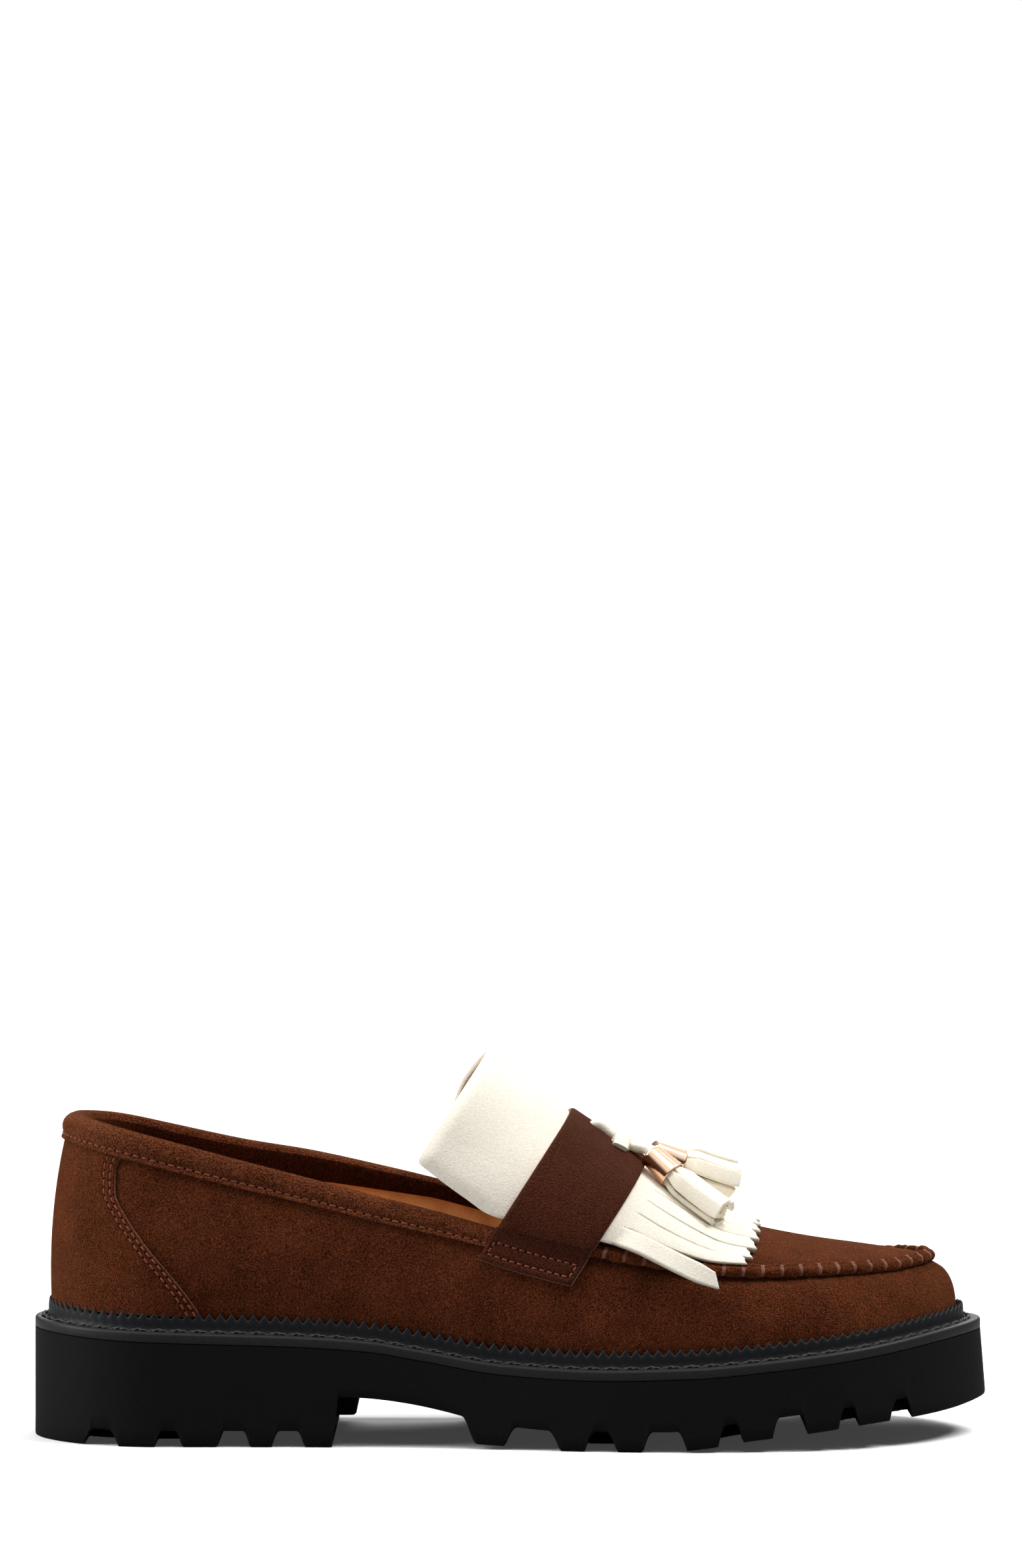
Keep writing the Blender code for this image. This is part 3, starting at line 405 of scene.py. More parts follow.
midsole_sides = [edge_stack(turns, MIDSOLE_PROFILE) for turns in (sole_shares, 2 - sole_shares)]
grey_rubber = mottled(
    "grey_rubber", tone(25, 24, 25), tone(36, 35, 36), patch=14, grain=1.3, roughness=(0.38, 0.55),
    relief=0.03, patch_share=0.35, grain_share=0.5, Specular_IOR_Level=0.14,
)
midsole = new_piece("midsole_plate", *thick_sheet(*midsole_sides), grey_rubber, 60)
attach(midsole, "root")
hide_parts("midsole")


# Welt stitching: waxed two-ply dark grey thread in long lock stitches along the channel on the ledge.
# Each stitch rises out of one needle hole and dives into the next, so it is fullest at its middle.
THREAD_SIDES = 6
WELT_STITCH, WELT_THREAD, PLY_THREAD, PLY_TURNS = 5.6, 0.3, 0.22, 1.5
RING_STEPS = 1600


def run_lengths(points):
    """Length run so far at each point of a line, or of many lines side by side."""
    steps = np.linalg.norm(np.diff(points, axis=0), axis=-1)
    return np.concatenate([np.zeros((1,) + steps.shape[1:]), np.cumsum(steps, axis=0)])


def even_line(points, count=None, step=None):
    """Even steps along a line: where they lie on it, as numbers of its points, and its whole length."""
    lengths = run_lengths(points)
    count = count or max(int(round(lengths[-1] / step)), 1)
    return np.interp(np.arange(count) * lengths[-1] / count, lengths, np.arange(len(points))), lengths[-1]


def read_line(line, places):
    """Points of a line at places given as numbers of its points."""
    return np.stack([np.interp(places, np.arange(len(line)), line[:, k]) for k in range(line.shape[1])], -1)


def stitch_paths(line, ups, pitch, share, rise, sink, steps=9, shift=0.0):
    """Middles of the stitches along a line on the work, and the way up from the work at each."""
    starts, _ = even_line(line, step=pitch)
    lengths = run_lengths(line)
    begin = np.interp(starts, np.arange(len(line)), lengths) + shift * pitch
    along = np.linspace(0, 1, steps)
    spots = np.interp(begin[:, None] + along * pitch * share, lengths, np.arange(len(line)))
    normals = unit(read_line(ups, spots.ravel())).reshape(len(starts), steps, 3)
    heights = -sink + (rise + sink) * np.sin(np.pi * along) ** 0.7
    middles = read_line(line, spots.ravel()).reshape(len(starts), steps, 3)
    return middles + normals * heights[:, None], normals


def thread_mesh(paths, ups, thickness):
    """Points and faces of many short threads, each along its own row of middles."""
    count, steps = paths.shape[:2]
    along = unit(np.gradient(paths, axis=1))
    side = unit(np.cross(along, ups))
    up = np.cross(side, along)
    angle = np.arange(THREAD_SIDES)[:, None] * 2 * np.pi / THREAD_SIDES
    ring = np.cos(angle) * side[:, :, None] + np.sin(angle) * up[:, :, None]
    points = paths[:, :, None] + thickness * ring
    tube = grid_faces(steps, THREAD_SIDES, round_columns=True)
    end = (steps - 1) * THREAD_SIDES
    caps = [(3, 2, 1, 0), (5, 4, 3, 0), (end, end + 1, end + 2, end + 3), (end, end + 3, end + 4, end + 5)]
    one = np.concatenate([tube, caps])
    faces = one + np.arange(count)[:, None, None] * steps * THREAD_SIDES
    return points.reshape(-1, 3), faces.reshape(-1, 4)


ring_turns = np.linspace(0, 2, RING_STEPS + 1)
ring_x = sole_edge(ring_turns)[:, 0]
welt_seam = ledge_point(ring_turns, welt_inset_at(ring_x) - STITCH_CHANNEL, 0.02)
welt_seam_ups = np.tile((0.0, 0.0, 1.0), (len(welt_seam), 1))
lock_paths, lock_up = stitch_paths(
    welt_seam, welt_seam_ups, WELT_STITCH, share=1.04, rise=0.35, sink=0.5, steps=15
)
lock_side = unit(np.cross(unit(np.gradient(lock_paths, axis=1)), lock_up))
plies = []
for ply in (0, np.pi):
    twist = ply + 2 * np.pi * PLY_TURNS * np.linspace(0, 1, lock_paths.shape[1])[:, None]
    plies.append(lock_paths + PLY_THREAD * (np.cos(twist) * lock_side + np.sin(twist) * lock_up))
waxed_thread = mottled(
    "waxed_thread", tone(15, 15, 14), tone(46, 45, 42), patch=2, grain=0.3, roughness=(0.45, 0.7),
    relief=0.06, Specular_IOR_Level=0.3,
)
ply_points, ply_faces = thread_mesh(np.concatenate(plies), np.concatenate([lock_up] * 2), WELT_THREAD)
welt_stitches = new_piece("welt_stitches", ply_points, ply_faces, waxed_thread)
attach(welt_stitches, "root")


# Storm welt: a black rubber strip that stands round the foot of the upper and keeps water out of the seam.
# Its top edge is pinked into pointed teeth, which lean lightly against the suede.
WELT_THICKNESS, WELT_TOP_THICKNESS = 1.9, 1.2
WELT_VALLEY, WELT_TIP, WELT_TOE_TIP, TOOTH_PITCH, TOOTH_STEPS = 3.4, 5.5, 4.7, 3.1, 10
welt_path = ledge_point(ring_turns, welt_inset_at(ring_x), 0)
welt_teeth = round(even_line(welt_path, count=1)[1] / TOOTH_PITCH)
welt_places, _ = even_line(welt_path, count=welt_teeth * TOOTH_STEPS)
welt_turns = np.interp(welt_places, np.arange(len(ring_turns)), ring_turns)
in_tooth = np.abs(np.arange(len(welt_turns)) / TOOTH_STEPS % 1 * 2 - 1)
welt_x = sole_edge(welt_turns)[:, 0]
tooth_tip = np.interp(welt_x, (150, 240), (WELT_TIP, WELT_TOE_TIP))
tooth_top = WELT_VALLEY + (tooth_tip - WELT_VALLEY) * in_tooth**1.25
welt_start = welt_inset_at(welt_x)
# Section of the strip: inset from its foot line, and share of the tooth's height.
WELT_PROFILE = (
    (WELT_THICKNESS, 0.0), (-0.35, 0.0), (-0.3, 0.05), (-0.02, 0.16), (0.0, 0.4), (0.05, 0.62),
    (0.12, 0.8), (0.22, 0.93), (0.5, 1.0), (WELT_TOP_THICKNESS - 0.3, 1.0), (WELT_TOP_THICKNESS, 0.92),
    (WELT_TOP_THICKNESS + 0.2, 0.6),
)
welt_rows = [ledge_point(welt_turns, welt_start + inset, tooth_top * share) for inset, share in WELT_PROFILE]
welt_loops = np.stack(welt_rows, 1)
welt_rubber = mottled(
    "welt_rubber", tone(13, 14, 16), tone(23, 24, 27), patch=6, grain=0.8, roughness=(0.4, 0.6),
    relief=0.03, patch_share=0.3, grain_share=0.5, Specular_IOR_Level=0.14,
)


def ring_faces(loops):
    """Quads of closed loops that follow each other round to the first."""
    return grid_faces(*loops.shape[:2], round_rows=True, round_columns=True)


storm_welt = new_piece("pinked_storm_welt", welt_loops, ring_faces(welt_loops), welt_rubber, 60)
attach(storm_welt, "root")
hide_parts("storm_welt")


# Upper: brown suede drawn over the last, in one piece from the heel round the toe, and sewn to the apron.
# The wall swells out above the welt, and is gathered in small puckers where the apron seam draws it in.
WALL_STEPS, WALL_ROWS = 700, 54
SUEDE_THICKNESS = 1.2
THROAT = 146.0
SEAM_STITCH, SEAM_TROUGH = 5.5, 0.75
# Section of the wall by station: how far the top leans in on the outer and on the inner side, how far the
# wall swells near its foot and at what share of its height, and the same near its top, measured down.
lean_lateral, lean_medial, low_out, low_up, high_out, high_down = curves(
    (5, 5.6, 5.6, 1.3, 0.33, 5.4, 0.33), (20, 3.6, 3.6, 2.4, 0.33, 4.2, 0.33),
    (40, 2.2, 2.2, 4.2, 0.33, 3.8, 0.33), (70, 1.5, 1.0, 4.9, 0.34, 3.6, 0.33),
    (100, 1.2, -0.5, 4.7, 0.35, 3.4, 0.33), (130, 2.0, -1.5, 4.2, 0.38, 3.4, 0.30),
    (150, 3.5, 1.0, 3.4, 0.42, 3.7, 0.27), (180, 5.2, 4.0, 1.9, 0.45, 4.6, 0.22),
    (215, 8.2, 7.5, 1.4, 0.50, 5.8, 0.19), (240, 9.3, 9.3, 1.0, 0.52, 6.2, 0.18),
    (264, 8.3, 8.3, 0.5, 0.54, 6.5, 0.17),
)
# Height of the wall's top by station, on the outer and on the inner side.
top_lateral, top_medial = curves(
    (11, 91.8, 91.8), (21, 89.8, 90.2), (37, 86.0, 86.6), (59, 80.1, 81.9), (78, 75.2, 78.8),
    (96, 70.4, 74.9), (115, 65.7, 70.3), (133, 60.9, 65.0), (161, 54.8, 57.0), (177, 51.9, 53.6),
    (196, 49.6, 50.8), (214, 48.9, 49.5), (241, 48.9, 49.1), (250, 49.5, 49.6), (257, 50.4, 50.4),
)


def outward(turn):
    """Level way out from the sole's edge."""
    return np.concatenate([-inward(turn), np.zeros(np.shape(turn) + (1,))], -1)


def feather(turn):
    """Line where the upper meets the sole."""
    return ledge_point(turn, welt_inset_at(sole_edge(turn)[..., 0]) + WELT_THICKNESS + GAP, GAP)


def top_edge(turn):
    """Top of the wall: the collar behind the throat, and the apron seam in front of it."""
    outer_side = np.mod(turn, 2.0) <= 1
    x = feather(turn)[..., 0]
    lean = np.where(outer_side, lean_lateral(x), lean_medial(x))
    point = ledge_point(turn, welt_inset_at(sole_edge(turn)[..., 0]) + WELT_THICKNESS + GAP + lean, 0)
    point[..., 2] = np.where(outer_side, top_lateral(point[..., 0]), top_medial(point[..., 0]))
    return point


def wall(turn, rise):
    """Outside of the upper's wall from the sole (rise 0) to its top edge (rise 1)."""
    turn, rise = np.broadcast_arrays(np.asarray(turn, float), np.asarray(rise, float))
    foot, top, out = feather(turn), top_edge(turn), outward(turn)
    x = foot[..., 0]
    height = np.zeros_like(foot)
    height[..., 2] = top[..., 2] - foot[..., 2]
    low = foot + out * low_out(x)[..., None] + height * low_up(x)[..., None]
    high = top + out * high_out(x)[..., None] - height * high_down(x)[..., None]
    r = rise[..., None]
    return foot * (1 - r) ** 3 + low * 3 * (1 - r) ** 2 * r + high * 3 * (1 - r) * r**2 + top * r**3


def grid_normals(grid, outside, round_rows=False):
    """Normals of a grid of points, turned to the side where outside points."""
    framed = np.concatenate([grid[-2:], grid, grid[:2]]) if round_rows else grid
    normals = unit(np.cross(np.gradient(framed, axis=0), np.gradient(framed, axis=1)))
    normals = normals[2:-2] if round_rows else normals
    return normals * np.sign((normals * outside).sum(-1, keepdims=True) + 1e-12)


wall_turns = np.linspace(0, 2, WALL_STEPS, endpoint=False)[:, None]
wall_rises = np.linspace(0, 1, WALL_ROWS)[None]
wall_grid = wall(wall_turns, wall_rises)
wall_normals = grid_normals(wall_grid, outward(wall_turns), round_rows=True)

# Main creases: side, the crease's two ends as (station, height), half width, and depth (a ridge is negative).
WALL_CREASES = (
    (-1, (146, 30), (160, 44), 5.0, 0.45), (-1, (155, 29), (170, 43), 4.0, -0.3),
    (-1, (166, 30), (178, 41), 4.0, 0.3), (-1, (104, 40), (128, 52), 6.0, 0.4),
    (-1, (92, 36), (112, 44), 7.0, -0.3), (-1, (52, 42), (80, 58), 8.0, 0.3),
    (1, (146, 32), (158, 46), 5.0, 0.5), (1, (158, 32), (170, 44), 4.5, -0.35),
    (1, (170, 32), (180, 42), 4.0, 0.3), (1, (98, 40), (124, 54), 6.5, 0.45),
    (1, (60, 44), (84, 60), 8.0, 0.3),
)


def hump(away, half_width):
    """Soft hump of height 1 that dies out away from its middle."""
    return np.exp(-((away / half_width) ** 2))


def crease_depth(points, outer_side):
    """How far the creases push the wall in at its points."""
    depth = np.zeros(points.shape[:-1])
    for side, start, end, half_width, deep in WALL_CREASES:
        start, reach = np.array(start, float), np.subtract(end, start)
        from_start = points[..., [0, 2]] - start
        along = np.clip((from_start @ reach) / (reach @ reach), 0, 1)
        away = np.linalg.norm(from_start - along[..., None] * reach, axis=-1)
        fade = np.where(outer_side, side < 0, side > 0) * np.sin(np.pi * np.clip(along, 0.02, 0.98)) ** 0.5
        depth += deep * hump(away, half_width) * fade
    return depth


SEAM_COUNT_STEPS = 2400
fine_turns = np.linspace(0, 2, SEAM_COUNT_STEPS + 1)
top_lengths = run_lengths(top_edge(fine_turns))


def seam_phase(turn):
    """Stitches passed along the apron seam, counted from the tip of the toe."""
    passed, toe = np.interp(np.mod(turn, 2), fine_turns, top_lengths), np.interp(1, fine_turns, top_lengths)
    return (passed - toe) / SEAM_STITCH


def pucker(turn, from_seam, depth, reach):
    """Gathers that run from each stitch of the apron seam and die out, in a trough along the seam."""
    in_front = ramp(sole_edge(turn)[..., 0], THROAT + 6, THROAT + 20)
    gathers = depth * np.cos(2 * np.pi * seam_phase(turn)) * np.exp(-from_seam / reach)
    return (gathers + SEAM_TROUGH * hump(from_seam - 1.2, 1.9)) * in_front


wall_from_seam = wall_grid[:, -1:, 2] - wall_grid[..., 2]
wall_push = crease_depth(wall_grid, wall_turns <= 1) + pucker(wall_turns, wall_from_seam, 0.28, 3.2)
wall_skin = wall_grid - wall_normals * wall_push[..., None]
wall_loops = np.concatenate([wall_skin, (wall_skin - wall_normals * SUEDE_THICKNESS)[:, ::-1]], 1)
SUEDE = dict(Sheen_Weight=0.18, Sheen_Roughness=0.5, Specular_IOR_Level=0.015)
# The light tone is paled towards grey: partly the nap's own lighter tips, partly painted glints of the nap, a
# painted highlight.
brown_suede = mottled(
    "brown_suede", tone(38, 4, 0), tone(120, 62, 37), patch=13, grain=0.42, roughness=(0.85, 1.0),
    relief=1.1, patch_share=0.36, grain_share=1.15, fleck=1.35, Sheen_Tint=tone(235, 165, 110), **SUEDE,
)
upper_wall = new_piece("upper_wall", wall_loops, ring_faces(wall_loops), brown_suede, 60)
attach(upper_wall, "root")
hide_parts("upper")


# Apron: the suede panel over the toes and instep, cut separately and sewn in along the raised seam.
# It is arched under the kiltie and flattens towards the toe.
APRON_ROWS, APRON_STEPS = 200, 91
# Height of the instep's ridge by station, and how full its arch is.
instep_ridge, instep_arch = curves(
    (100, 123.6, 2.0), (150, 90.5, 2.0), (185, 67.7, 1.5), (197, 61.2, 1.3),
    (208, 58.4, 1.15), (223, 55.6, 1.0), (239, 53.4, 1.0), (257, 50.4, 1.0),
)


def instep(share, across):
    """Arch of the instep and apron, from the outer top edge (-1) over the ridge to the inner one (+1)."""
    share, across = np.broadcast_arrays(np.asarray(share, float), np.asarray(across, float))
    near, far = top_edge(share), top_edge(2 - share)
    angle = across * np.pi / 2
    point = (near + far) / 2 + (far - near) / 2 * np.sin(angle)[..., None]
    x = point[..., 0]
    arch = np.maximum(np.cos(angle), 0) ** (2 / instep_arch(x))
    point[..., 2] += np.maximum(instep_ridge(x) - (near[..., 2] + far[..., 2]) / 2, 0) * arch
    return point


UPWARD = np.array((0.0, 0.0, 1.0))
apron_shares = np.linspace(fraction_at(THROAT), 1 - 1 / SOLE_STEPS, APRON_ROWS)[:, None]
even_across = np.linspace(-1, 1, APRON_STEPS)[None]
apron_across = 0.35 * np.sin(even_across * np.pi / 2) + 0.65 * even_across
apron_grid = instep(apron_shares, apron_across)
apron_normals = grid_normals(apron_grid, UPWARD)
apron_half = np.linalg.norm(apron_grid[:, -1] - apron_grid[:, 0], axis=-1)[:, None] / 2
apron_from_seam = (1 - np.abs(np.sin(apron_across * np.pi / 2))) * apron_half
apron_turns = np.where(apron_across < 0, apron_shares, 2 - apron_shares)
apron_skin = apron_grid - apron_normals * pucker(apron_turns, apron_from_seam, 0.2, 3.0)[..., None]
apron_points, apron_faces = thick_sheet(apron_skin, apron_skin - apron_normals * SUEDE_THICKNESS)
apron = new_piece("apron", apron_points, apron_faces, brown_suede, 60)
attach(apron, "root")


# Apron seam: the edges of the wall and the apron, turned up side by side and whipped together by hand.
# It stands as a soft double roll that each stitch pinches.
SEAM_STEPS_PER_STITCH, SEAM_SIDES = 14, 24
# Rolls of the seam: place aside of its middle, place above it, and radius.
SEAM_LOBES = ((-0.65, 0.0, 1.5), (0.85, 0.6, 1.02))
SEAM_PINCH, PINCH_SHARE, SEAM_START = 0.24, 0.12, 150.0
SEAM_TILT = math.radians(28)
SEAM_RISE, SEAM_OUT, SEAM_OUT_STRAP = 0.5, 0.15, 0.8
HAND_THREAD, HAND_STRANDS = 0.18, (-0.36, 0.0, 0.34)
seam_turns = np.linspace(fraction_at(SEAM_START), 2 - fraction_at(SEAM_START), 2001)
seam_count = round(even_line(top_edge(seam_turns), count=1)[1] / SEAM_STITCH)
seam_places, _ = even_line(top_edge(seam_turns), count=seam_count * SEAM_STEPS_PER_STITCH)
seam_turns = np.interp(seam_places, np.arange(len(seam_turns)), seam_turns)
seam_line = top_edge(seam_turns)


def seam_frame(turn, line):
    """Ways along, out from and up from the apron seam."""
    along, out = unit(np.gradient(line, axis=0)), outward(turn)
    out = unit(out - along * (out * along).sum(-1, keepdims=True))
    up = np.cross(along, out)
    up = up * np.sign(up[:, 2:])
    tilted_out = unit(out * math.cos(SEAM_TILT) - up * math.sin(SEAM_TILT))
    return along, tilted_out, unit(up * math.cos(SEAM_TILT) + out * math.sin(SEAM_TILT))


def lobed_ring(angle):
    """Reach of the double roll's outline from its middle, at angles round it."""
    reach = np.full(angle.shape, 0.5)
    for aside, above, radius in SEAM_LOBES:
        toward = -aside * np.cos(angle) + above * np.sin(angle)
        inside = toward**2 - (aside**2 + above**2 - radius**2)
        reach = np.maximum(reach, np.where(inside > 0, toward + np.sqrt(np.maximum(inside, 0)), 0))
    return reach


seam_along, seam_out, seam_up = seam_frame(seam_turns, seam_line)


def round_seam(angle, spots):
    """Ways from the seam's middle at angles round it, at some spots along it."""
    return np.cos(angle)[:, None] * seam_out[spots, None] + np.sin(angle)[:, None] * seam_up[spots, None]


seam_angles = np.linspace(0, 2 * np.pi, SEAM_SIDES, endpoint=False)
seam_beat = np.arange(len(seam_turns)) / SEAM_STEPS_PER_STITCH
pinch = 1 - SEAM_PINCH * hump((seam_beat + 0.5) % 1 - 0.5, PINCH_SHARE)
wobble = 1 + 0.05 * np.sin(seam_beat * 2.9) + 0.04 * np.sin(seam_beat * 5.3 + 1)
beats = seam_beat[:, None]
lumps = 1 + 0.05 * np.sin(beats * 13 + 3 * seam_angles) * np.sin(beats * 4.1 - 2 * seam_angles)
seam_reach = lobed_ring(seam_angles)[None] * (pinch * wobble)[:, None] * lumps
seam_bulge = np.interp(seam_line[:, 0], (200, 225), (SEAM_OUT_STRAP, SEAM_OUT))[:, None]
seam_middle = seam_line + SEAM_RISE * seam_up + seam_bulge * seam_out
seam_ring = seam_middle[:, None] + seam_reach[..., None] * round_seam(seam_angles, slice(None))
seam_roll = new_piece("apron_seam_roll", seam_ring, loft_faces(*seam_ring.shape[:2]), brown_suede, 70)
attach(seam_roll, "root")

hand_angles = np.linspace(math.radians(-50), math.radians(190), 21)
hand_spots = np.arange(1, seam_count) * SEAM_STEPS_PER_STITCH
hand_reach = lobed_ring(hand_angles) * (1 - SEAM_PINCH) + 0.1
hand_ways = round_seam(hand_angles, hand_spots)
hand_slant = np.linspace(-0.35, 0.35, len(hand_angles))[:, None]
hand_middles = seam_middle[hand_spots, None] + hand_reach[:, None] * hand_ways
hand_paths = [hand_middles + (strand + hand_slant) * seam_along[hand_spots, None] for strand in HAND_STRANDS]
brown_thread = mottled(
    "brown_thread", tone(96, 56, 43), tone(150, 102, 86), patch=3, grain=0.3, roughness=(0.6, 0.8),
    relief=0.06, Specular_IOR_Level=0.2,
)
hand_ups = np.concatenate([hand_ways] * len(HAND_STRANDS))
hand_points, hand_faces = thread_mesh(np.concatenate(hand_paths), hand_ups, HAND_THREAD)
hand_stitches = new_piece("apron_seam_stitches", hand_points, hand_faces, brown_thread)
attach(hand_stitches, "root")


# Lining: smooth tan leather inside the wall, cemented to the suede and sewn down under the binding.
# It creases softly where the quarters bend in towards the throat.
LINING_STEPS, LINING_ROWS = 480, 40
LINING_INSET, LINING_THICKNESS, LINING_TOP = 1.3, 0.8, 5.0
LINING_BEND, LINING_BEND_REACH = 120, 28


def wall_length(turn):
    """Height of the wall from the sole to its top edge."""
    return (top_edge(turn) - feather(turn))[..., 2]


lining_turns = np.linspace(0, 2, LINING_STEPS, endpoint=False)[:, None]
lining_rises = np.linspace(0, 1, LINING_ROWS)[None] * (1 - LINING_TOP / wall_length(lining_turns))
lining_grid = wall(lining_turns, lining_rises)
lining_normals = grid_normals(lining_grid, outward(lining_turns), round_rows=True)
lining_x, lining_z = lining_grid[..., 0], lining_grid[..., 2]
long_waves = 0.22 * np.sin(lining_x / 1.7 + lining_z / 2.6)
short_waves = 0.16 * np.sin(lining_x / 1.1 - lining_z / 4.2 + 1)
lining_creases = hump(lining_x - LINING_BEND, LINING_BEND_REACH) * (long_waves + short_waves)
lining_depth = LINING_INSET + LINING_THICKNESS + lining_creases
lining_face = lining_grid - lining_normals * lining_depth[..., None]
lining_back = lining_grid - lining_normals * LINING_INSET
lining_loops = np.concatenate([lining_back, lining_face[:, ::-1]], 1)
tan_leather = mottled(
    "tan_leather", tone(212, 152, 98), tone(236, 184, 132), patch=7, grain=0.8, roughness=(0.4, 0.6),
    relief=0.08, patch_share=0.5, grain_share=0.5, Specular_IOR_Level=0.35,
)
lining = new_piece("leather_lining", lining_loops, ring_faces(lining_loops), tan_leather, 60)
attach(lining, "root")


# Insole: a padded sock of the same tan leather, glued down inside the shoe.
# Its rim is rolled under, and it dishes a little under the heel.
INSOLE_STEPS, INSOLE_ENDS = 240, (0.06, 0.94)
INSOLE_INSET = WELT_THICKNESS + GAP + 2.6
# Section of the sock's rim: distance in from its edge, and height over the ledge.
INSOLE_RIM = ((1.0, 0.0), (0.0, 0.6), (0.0, 2.0), (0.4, 2.6), (1.2, 2.95), (5.0, 2.9), (11.0, 2.5))
insole_profile = [("welt", INSOLE_INSET + inset, GAP + above) for inset, above in INSOLE_RIM]
insole_shares = np.linspace(*INSOLE_ENDS, INSOLE_STEPS)
insole_near, insole_far = (edge_stack(turns, insole_profile) for turns in (insole_shares, 2 - insole_shares))
insole_loops = np.concatenate([insole_near, insole_far[:, ::-1]], 1)
insole = new_piece("leather_sock", insole_loops, loft_faces(*insole_loops.shape[:2]), tan_leather, 60)
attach(insole, "root")
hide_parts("insole")


# Heel counter: a second layer of brown suede that wraps the back of the heel and stiffens it.
# Its cut front edge sweeps down to the welt, and two rows of rust thread hold it.
COUNTER_THICKNESS, COUNTER_SUNK = 1.1, 0.3
# Height of the counter's foot over the sole, height where its front edge is measured last, and how far
# below the top line it ends, under the binding.
COUNTER_LOW, COUNTER_HIGH, COUNTER_END = 4.0, 48.0, 5.6
COUNTER_STEPS, COUNTER_ROWS = 241, 64
COUNTER_SEAMS = (1.3, 3.4)
SEWING_STITCH, SEWING_THREAD, NEEDLE = 2.4, 0.27, 0.3
# Station of the counter's front edge, by height.
(counter_front,) = curves(
    (4.0, 48.8), (6.2, 47.6), (15, 41.0), (25, 31.1), (31, 25.6), (36, 22.2), (42, 21.9), (48, 24.7)
)
counter_ups = np.linspace(0, 1, COUNTER_ROWS)[None]
counter_heights = COUNTER_LOW + counter_ups * (COUNTER_HIGH - COUNTER_LOW)
counter_turns = np.linspace(1, -1, COUNTER_STEPS)[:, None] * fraction_at(counter_front(counter_heights))
counter_length = wall_length(counter_turns)
counter_start, counter_end = COUNTER_LOW / counter_length, 1 - COUNTER_END / counter_length
counter_grid = wall(counter_turns, counter_start + (counter_end - counter_start) * counter_ups)
counter_normals = grid_normals(counter_grid, outward(counter_turns))
counter_run = run_lengths(counter_grid)
counter_from_front = np.minimum(counter_run, counter_run[-1:] - counter_run)


def sewn_dent(distance, seams, deep=0.3, half_width=0.55):
    """How far the thread pulls the suede down along seams at distances from an edge."""
    return sum(deep * hump(distance - seam, half_width) for seam in seams)


def cut_edge(distance, drop=0.3, reach=0.5):
    """How far a cut edge is worn down."""
    return drop * np.clip(1 - distance / reach, 0, 1) ** 2


counter_lift = COUNTER_THICKNESS - sewn_dent(counter_from_front, COUNTER_SEAMS) - cut_edge(counter_from_front)
counter_skin = counter_grid + counter_normals * counter_lift[..., None]
counter_points, counter_faces = thick_sheet(counter_skin, counter_grid - counter_normals * COUNTER_SUNK)
heel_counter = new_piece("suede_heel_counter", counter_points, counter_faces, brown_suede, 50)
raw_edge = mottled(
    "raw_edge", tone(70, 36, 25), tone(150, 98, 76), patch=5, grain=0.5, roughness=(0.9, 1.0),
    relief=0.3, patch_share=0.4, grain_share=1.2, **SUEDE,
)


def part_finish(piece, finish, row_length, chosen):
    """Gives a finish of its own to those faces of a piece whose places along its rows are chosen."""
    piece.data.materials.append(finish)
    for face in piece.data.polygons:
        places = np.array(face.vertices) % row_length
        face.material_index = int(chosen(places))


def cut_side(columns):
    """Chooses the cut edge of a thick sheet, between its two faces."""
    return lambda places: places.min() < columns <= places.max()


part_finish(heel_counter, raw_edge, 2 * COUNTER_ROWS, cut_side(COUNTER_ROWS))
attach(heel_counter, "root")
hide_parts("heel_counter")


def line_at_distance(grid, run, distance):
    """Line across a grid where each of its columns has run a given distance."""
    line = []
    for column in range(grid.shape[1]):
        place = np.interp(distance, run[:, column], np.arange(len(run)))
        line.append(read_line(grid[:, column], np.array([place]))[0])
    return np.array(line)


rust_thread = mottled(
    "rust_thread", tone(84, 36, 21), tone(150, 82, 54), patch=4, grain=0.3, roughness=(0.55, 0.75),
    relief=0.05, Specular_IOR_Level=0.25,
)
# Needle holes: short dark threads sunk into the suede between the stitches, painted shade for the hollow of
# each hole.
hole_shade = mottled(
    "hole_shade", tone(14, 5, 2), tone(34, 13, 7), patch=2, grain=0.4, roughness=(0.9, 1.0),
    relief=0.05, Specular_IOR_Level=0.0,
)


def sew(name, rows, pitch, share=0.8, rise=0.2, sink=0.35):
    """Machine stitches along rows of (line, ways up), and painted shade in the needle holes between: two
    pieces.
    """
    stitches = [stitch_paths(line, ways, pitch, share, rise, sink) for line, ways in rows]
    hole = dict(share=0.24, rise=-0.1, sink=0.2, steps=5, shift=share - 0.02)
    holes = [stitch_paths(line, ways, pitch, **hole) for line, ways in rows]
    pieces = []
    for kind, paths, thickness, finish in (
        ("_stitches", stitches, SEWING_THREAD, rust_thread), ("_hole_shades", holes, NEEDLE, hole_shade)
    ):
        middles, ups = (np.concatenate(part) for part in zip(*paths))
        pieces.append(new_piece(name + kind, *thread_mesh(middles, ups, thickness), finish))
    return pieces


counter_rows = []
for seam in COUNTER_SEAMS:
    for run, skin_grid, normals in (
        (counter_run, counter_skin, counter_normals),
        (counter_run[-1:] - counter_run[::-1], counter_skin[::-1], counter_normals[::-1]),
    ):
        counter_rows.append((line_at_distance(skin_grid, run, seam), line_at_distance(normals, run, seam)))
for piece in sew("heel_counter", counter_rows, SEWING_STITCH):
    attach(piece, "root")


# Collar binding: a soft strip of brown suede folded over the top line, with as much inside as outside.
# It is padded at the fold and sewn through near its lower edge with rust thread.
BINDING_STEPS, BINDING_END = 560, THROAT + 3
BINDING_SEAM = 5.7
